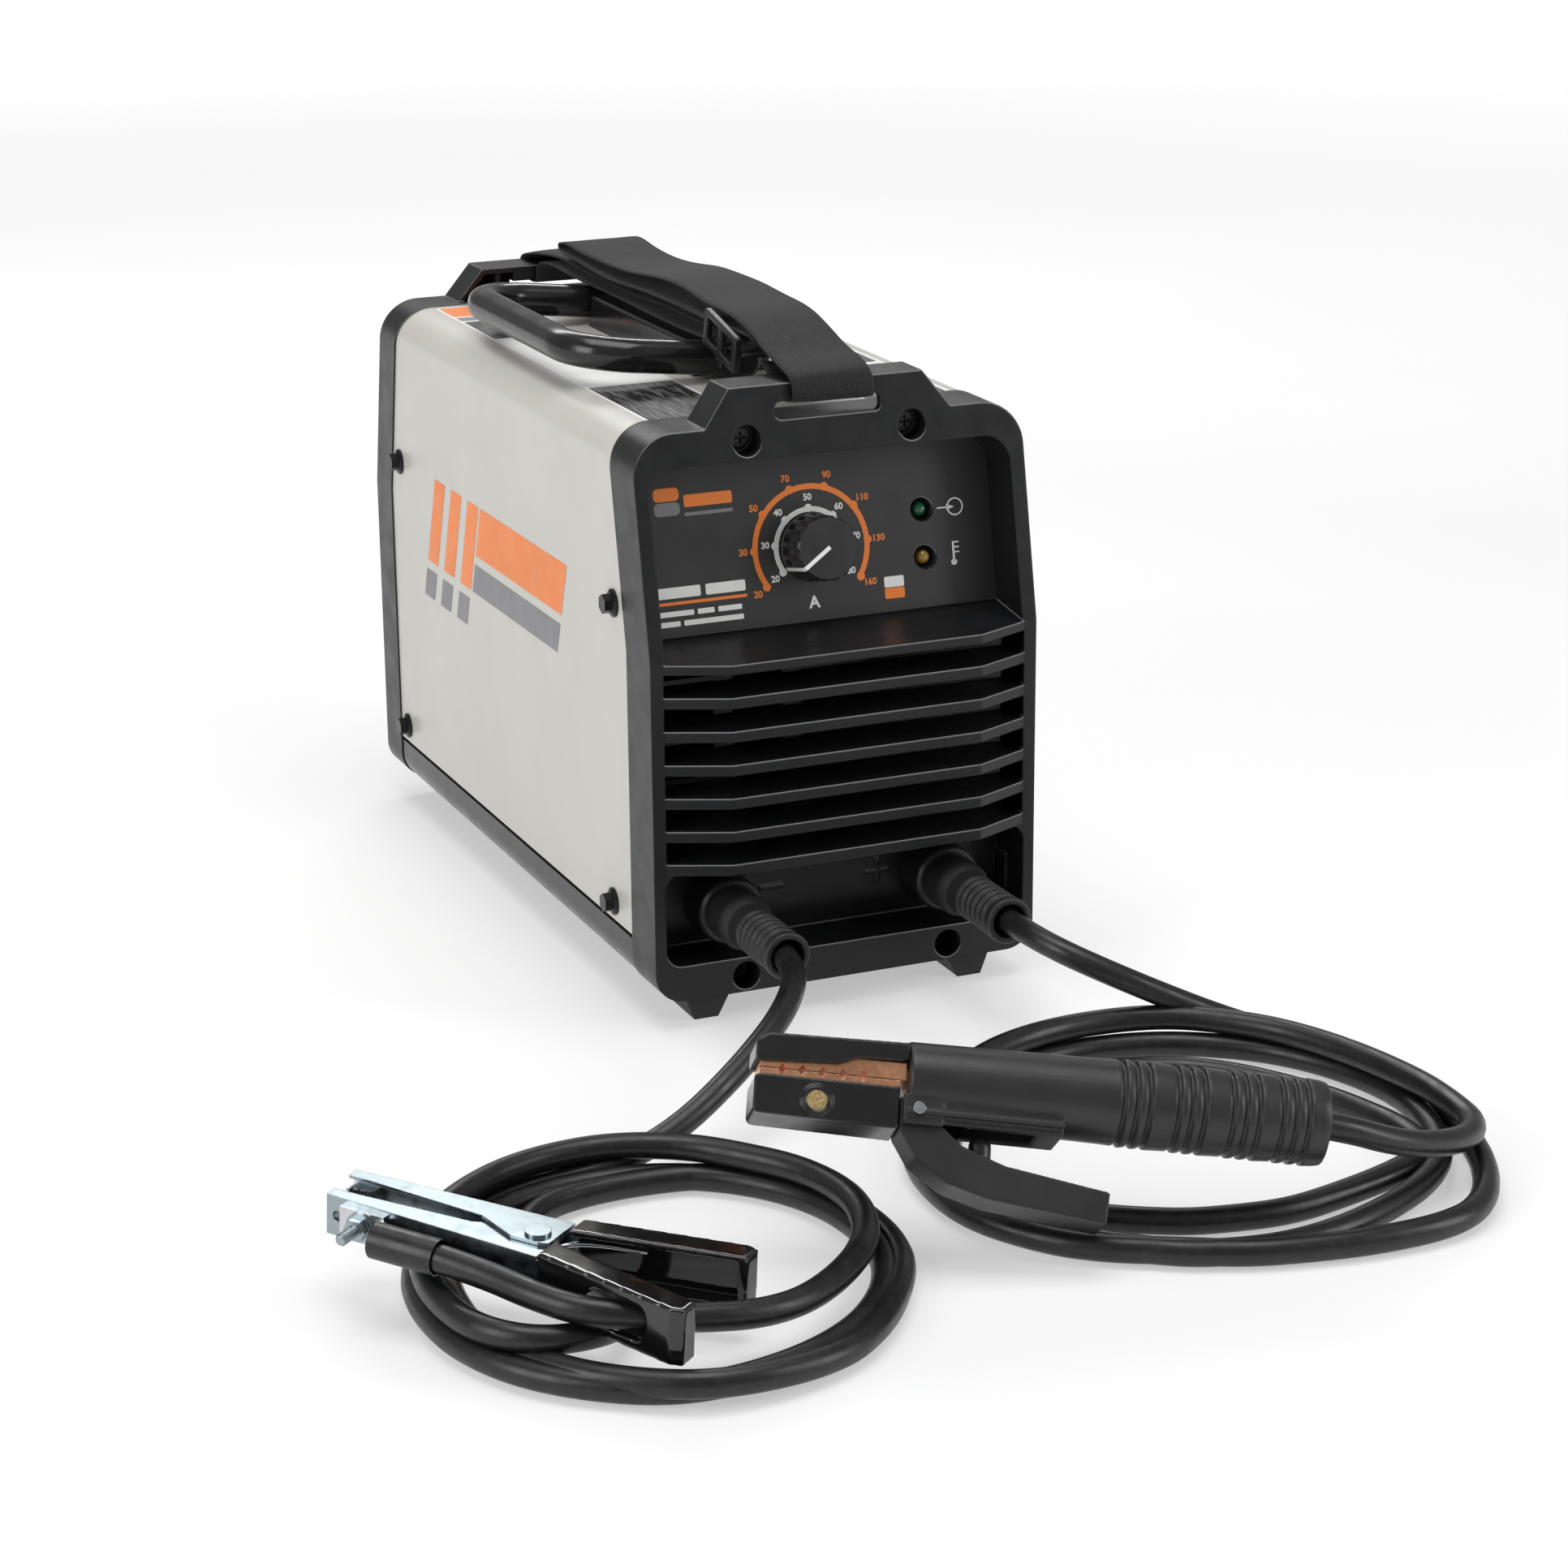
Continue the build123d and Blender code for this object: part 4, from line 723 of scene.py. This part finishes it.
# ---- prints on the control label -------------------------------------------------------------------------
KINK_Y, KINK_Z = 200.7, 174.7
UP_SLOPE = Vector((0.0, 22.8, 117.3)).normalized()
RECESS_DEPTH = 25.6
PRINT_LIFT, PRINT_THICK = 0.02, 0.1
DIAL_X, DIAL_T = -3.0, 43.1
DIAL_SWEEP = 124.0
OUTER_R, INNER_R = 27.9, 17.5
DOT_OUT = 0.5
OUTER_NUMBERS = (20, 30, 50, 70, 90, 110, 130, 160)
INNER_NUMBERS = (20, 30, 40, 50, 60, 70, 80)


def recess_matrix():
    outward = Vector((1, 0, 0)).cross(UP_SLOPE)
    origin = Vector((0, -KINK_Y, KINK_Z)) - outward * (RECESS_DEPTH - PRINT_LIFT)
    return plane_matrix(origin, (1, 0, 0), UP_SLOPE)


def dial_angle(share):
    """Angle from +x, in degrees, of a mark that far along the scale."""
    return 90.0 + DIAL_SWEEP - 2.0 * DIAL_SWEEP * share


def shifted(outline, x, y):
    return [(px + x, py + y) for px, py in outline]


def text_mesh(name, text, size, place):
    """A number or letter as a thin solid, centred on its place."""
    curve = bpy.data.curves.new(name, "FONT")
    curve.body = text
    curve.size = size * MM
    curve.extrude = PRINT_THICK / 2 * MM
    curve.offset = 0.03 * size * MM
    curve.align_x, curve.align_y = "CENTER", "CENTER"
    curve.resolution_u = 3
    holder = bpy.data.objects.new(name, curve)
    scene.collection.objects.link(holder)
    mesh = taken_mesh(holder)
    shift = Matrix.Translation(place.to_translation() * MM) @ place.to_3x3().to_4x4()
    mesh.transform(shift)
    return mesh


def add_text(name, meshes, material):
    """One piece from the meshes of several numbers or letters."""
    both = bmesh.new()
    for mesh in meshes:
        both.from_mesh(mesh)
    result = bpy.data.meshes.new(name)
    both.to_mesh(result)
    both.free()
    add_piece(name, result, "case", material)


def dial_numbers(name, numbers, radius, size, material):
    place = recess_matrix()
    meshes = []
    for i, number in enumerate(numbers):
        angle = math.radians(dial_angle(i / (len(numbers) - 1)))
        at = Vector((DIAL_X + radius * math.cos(angle), DIAL_T + radius * math.sin(angle), PRINT_THICK / 2))
        meshes.append(text_mesh(name, str(number), size, place @ Matrix.Translation(at)))
    add_text(name, meshes, material)


def add_dial(orange, white):
    place = recess_matrix()
    start, end = 90.0 - DIAL_SWEEP, 90.0 + DIAL_SWEEP
    for name, radius, numbers, width, dot, paint in (
        ("dial_outer_scale", OUTER_R, OUTER_NUMBERS, 2.6, 2.0, orange),
        ("dial_inner_scale", INNER_R, INNER_NUMBERS, 2.4, 1.9, white),
    ):
        band = arc_band(radius - width / 2, radius + width / 2, start, end, 72)
        plates(name, place, [shifted(band, DIAL_X, DIAL_T)], PRINT_THICK, paint)
        dots = []
        for i in range(len(numbers)):
            angle = math.radians(dial_angle(i / (len(numbers) - 1)))
            out = radius + DOT_OUT
            dots.append(disc(DIAL_X + out * math.cos(angle), DIAL_T + out * math.sin(angle), dot))
        plates(name + "_dots", place, dots, PRINT_THICK + 0.02, paint)
    dial_numbers("dial_outer_numbers", OUTER_NUMBERS, 33.8, 4.3, orange)
    dial_numbers("dial_inner_numbers", INNER_NUMBERS, 22.9, 4.2, white)
    letter = place @ Matrix.Translation(Vector((DIAL_X - 0.6, DIAL_T - 25.4, PRINT_THICK / 2)))
    add_text("dial_unit", [text_mesh("dial_unit", "A", 7.6, letter)], white)


def add_label_prints(orange, white, grey):
    """Lamp symbols, and plain bars where the real label has its names and ratings."""
    place = recess_matrix()
    ring_x, ring_t = 70.8, 54.4
    ring = shifted(arc_band(3.5, 4.2, 0.0, 360.0), ring_x, ring_t)
    arrow = [(61.6, 54.1), (66.4, 54.1), (66.4, 53.0), (70.4, 54.4)]
    arrow += [(66.4, 55.8), (66.4, 54.7), (61.6, 54.7)]
    stem = round_rectangle((67.9, 29.0), (68.9, 38.4), 0.4)
    ticks = [round_rectangle((68.9, t), (71.4, t + 0.7), 0.3) for t in (33.0, 35.3, 37.6)]
    symbols = [ring, arrow, stem, disc(68.4, 28.8, 1.5)] + ticks
    plates("lamp_symbols", place, symbols, PRINT_THICK, white)
    orange_bars = bars(0.4, (-85.0, -36.5, 24.0, 25.4)) + bars(0.8, (32.0, 42.0, 15.2, 20.2))
    orange_bars += bars(2.2, (-78.0, -65.6, 70.8, 76.8)) + bars(1.0, (-63.5, -40.0, 67.4, 73.0))
    plates("label_orange_bars", place, orange_bars, PRINT_THICK, orange)
    white_bars = bars(0.8, (-85.0, -59.0, 27.0, 32.0), (-56.5, -37.0, 27.0, 32.0), (32.0, 42.0, 20.5, 25.5))
    white_bars += bars(0.5, (-85.0, -63.0, 18.8, 21.2), (-61.2, -53.0, 18.8, 21.2))
    white_bars += bars(0.5, (-51.2, -39.5, 18.8, 21.2), (-85.0, -70.0, 14.2, 16.6), (-68.2, -39.0, 14.2, 16.6))
    plates("label_white_bars", place, white_bars, PRINT_THICK, white)
    grey_bars = bars(2.2, (-78.0, -65.6, 64.2, 70.2)) + bars(0.5, (-63.5, -40.0, 63.4, 65.0))
    plates("label_grey_bars", place, grey_bars, PRINT_THICK, grey)


# ---- decals on the cover ---------------------------------------------------------------------------------
DECAL = 0.14
SIDE_SLANT = 0.35


def side_matrix(x, outward):
    """A plane on the cover's side whose own x runs to the right as that side is seen."""
    return plane_matrix((x + outward * 0.03, 0, 0), (0, outward, 0), (0, 0, 1))


def slanted(low, high, bottom, top):
    """A parallelogram leaning with its top to the right."""
    shift = (top - bottom) * SIDE_SLANT
    return [(low, bottom), (high, bottom), (high + shift, top), (low + shift, top)]


def add_side_graphics(orange, grey):
    """A generic flash of slanted bars on each side, where the real one has its mark."""
    low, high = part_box("case_cover")
    for name, x, outward in (("left", low[0] / MM, -1), ("right", high[0] / MM, 1)):
        place = side_matrix(x, outward)
        bars = [slanted(-118.0 + 26.0 * i, -102.0 + 26.0 * i, 150.0, 196.0) for i in range(3)]
        bars.append(slanted(-40.0, 84.0, 170.0, 196.0))
        plates(name + "_side_flash", place, bars, DECAL, orange)
        lower = [slanted(-125.5 + 26.0 * i, -109.5 + 26.0 * i, 130.0, 145.0) for i in range(3)]
        lower.append(slanted(-47.0, 77.0, 150.0, 165.0))
        plates(name + "_side_rules", place, lower, DECAL, grey)


def add_top_decals(orange, white, grey):
    """The two printed sheets on the cover's top, with rules in place of words."""
    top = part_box("case_cover")[1][2] / MM
    base = plane_matrix((0, 0, top + 0.02), (1, 0, 0), (0, 1, 0))
    upper = plane_matrix((0, 0, top + 0.02 + DECAL), (1, 0, 0), (0, 1, 0))
    sheets = bars(2.0, (-76.0, -31.0, -158.0, 150.0), (31.0, 76.0, -158.0, 150.0))
    plates("top_decal_sheets", base, sheets, DECAL, white)
    dark = small_print("dark_print", (0.014, 0.014, 0.015), (0.3, 0.3, 0.3), 1.7, "X", "Y")
    panels = bars(1.0, (-74.5, -32.5, -156.5, -72.0), (-74.5, -32.5, 60.0, 108.0))
    panels += bars(1.0, (33.0, 73.5, -155.0, -78.0), (33.0, 73.5, -72.0, 6.0), (33.0, 73.5, 12.0, 84.0))
    plates("top_decal_panels", upper, panels, DECAL, dark)
    band = bars(1.0, (-74.5, -32.5, 124.0, 148.5))
    plates("top_decal_orange", upper, band, DECAL, orange)
    blocks = bars(1.0, (-74.5, -56.0, 112.0, 120.5), (33.0, 73.5, 90.0, 146.0))
    plates("top_decal_grey", upper, blocks, DECAL, grey)


# ---- clamp and holder details ----------------------------------------------------------------------------
LEG_R = 1.15
SPRING_LEG = [(94.2, 0.0, 4.4), (96.5, 5.0, 5.0), (104.0, 9.6, 5.4), (114.0, 12.8, 5.4), (127.0, 15.6, 5.2)]


def add_spring_leg(finishes):
    """The bright leg of the clamp's spring, lying in the far grip."""
    line = smooth_line("leg_line", [tuple(CLAMP_PLACE @ Vector(p)) for p in SPRING_LEG])
    around, points, faces = 12, [], []
    for i, here in enumerate(line):
        forward = (line[min(len(line) - 1, i + 1)] - line[max(0, i - 1)]).normalized()
        side = forward.cross(Vector((0, 0, 1))).normalized()
        up = side.cross(forward)
        radius = LEG_R * (1.0 - 0.35 * (i / (len(line) - 1)) ** 3)
        for j in range(around):
            angle = 2.0 * math.pi * j / around
            points.append(here / MM + (side * math.cos(angle) + up * math.sin(angle)) * radius)
    for i in range(len(line) - 1):
        for j in range(around):
            k = (j + 1) % around
            faces.append((i * around + j, i * around + k, (i + 1) * around + k, (i + 1) * around + j))
    last = (len(line) - 1) * around
    faces += [tuple(reversed(range(around))), tuple(range(last, last + around))]
    mesh = mesh_from("clamp_spring_leg", points, faces, True)
    add_piece("clamp_spring_leg", mesh, "clamp_far", finishes["steel"])


def add_moulded_pieces(finishes):
    """Dipped, moulded and rubber parts with rolled edges in place of their plain CAD solids."""
    for node, body, slot, voxel, passes in (
        ("clamp_near_grip", "case", "dipped_vinyl", 0.5, 22),
        ("clamp_far_grip", "clamp_far", "dipped_vinyl", 0.5, 22),
        ("negative_plug_boot", "negative_plug", "boot_rubber", 0.45, 4),
        ("positive_plug_boot", "positive_plug", "boot_rubber", 0.45, 4),
        ("holder_handle", "case", "holder_plastic", 0.5, 3),
        ("holder_lever", "holder_lever", "holder_plastic", 0.5, 4),
        ("holder_far_insulator", "case", "holder_gloss", 0.5, 4),
        ("holder_near_insulator", "holder_lever", "holder_gloss", 0.5, 4),
        ("carry_handle", "handle", "handle_plastic", 0.7, 5),
    ):
        softened(node, body, finishes[slot], voxel, passes)


# ---- stage -----------------------------------------------------------------------------------------------
def add_floor():
    size = 30000.0
    corners = [(-size, -size, 0), (size, -size, 0), (size, size, 0), (-size, size, 0)]
    mesh = mesh_from("floor", corners, [(0, 1, 2, 3)])
    made = Surface("floor_paper", specular=0.1)
    made.colour(made.mixed(made.spread(made.noise(2.0), 0.0, 1.0), (0.5, 0.5, 0.503), (0.52, 0.52, 0.523)))
    made.shader.inputs["Emission Color"].default_value = socket_color((1.0, 1.0, 1.0))
    distance = made.tree.nodes.new("ShaderNodeVectorMath")
    distance.operation = "LENGTH"
    made.link(made.place, distance.inputs[0])
    glow = made.spread(distance.outputs["Value"], 0.45, 0.86, 0.9, 3.5)
    made.link(glow, made.shader.inputs["Emission Strength"])
    made.roughness(made.spread(made.noise(5.0), 0.85, 0.95))
    mesh.materials.append(made.material)
    floor = bpy.data.objects.new("floor", mesh)
    floor.location.z = -0.0004
    scene.collection.objects.link(floor)


def add_light(name, at, aim, size, power):
    light = bpy.data.lights.new(name, "AREA")
    light.shape = "RECTANGLE"
    light.size, light.size_y = size[0] * MM, size[1] * MM
    light.energy = power
    lamp = bpy.data.objects.new(name, light)
    lamp.location = metres(at)
    lamp.rotation_euler = (metres(aim) - metres(at)).to_track_quat("-Z", "Y").to_euler()
    scene.collection.objects.link(lamp)


def add_lights():
    world = bpy.data.worlds.new("studio")
    world.use_nodes = True
    world.node_tree.nodes["Background"].inputs["Color"].default_value = (1.0, 1.0, 1.0, 1.0)
    world.node_tree.nodes["Background"].inputs["Strength"].default_value = 0.3
    scene.world = world
    add_light("top_softbox", (-100, -300, 1900), (0, -150, 0), (1500, 1100), 19.0)
    add_light("left_softbox", (-1900, -700, 900), (0, -100, 120), (900, 1200), 15.0)
    add_light("right_softbox", (1500, -1500, 900), (0, -150, 100), (500, 1300), 14.0)
    add_light("rear_strip", (300, 1600, 1500), (0, 0, 200), (1600, 400), 16.0)


# ---- the scene -------------------------------------------------------------------------------------------
add_camera()
finishes = slot_materials()
paint_nodes(finishes)
add_leads(finishes)
add_strap(finishes)
add_slider(finishes)
orange = plain("orange_print", ORANGE, 0.4, (900.0, 0.01), vary=0.05, edge=0.0)
grey = plain("grey_print", PRINT_GREY, 0.42, (900.0, 0.01), vary=0.06, edge=0.0)
white = plain("white_print", SOFT_WHITE, 0.42, (900.0, 0.01), vary=0.03, edge=0.0)
add_dial(orange, white)
add_label_prints(orange, white, grey)
add_side_graphics(orange, grey)
add_top_decals(orange, white, grey)
add_spring_leg(finishes)
add_moulded_pieces(finishes)
add_floor()
add_lights()
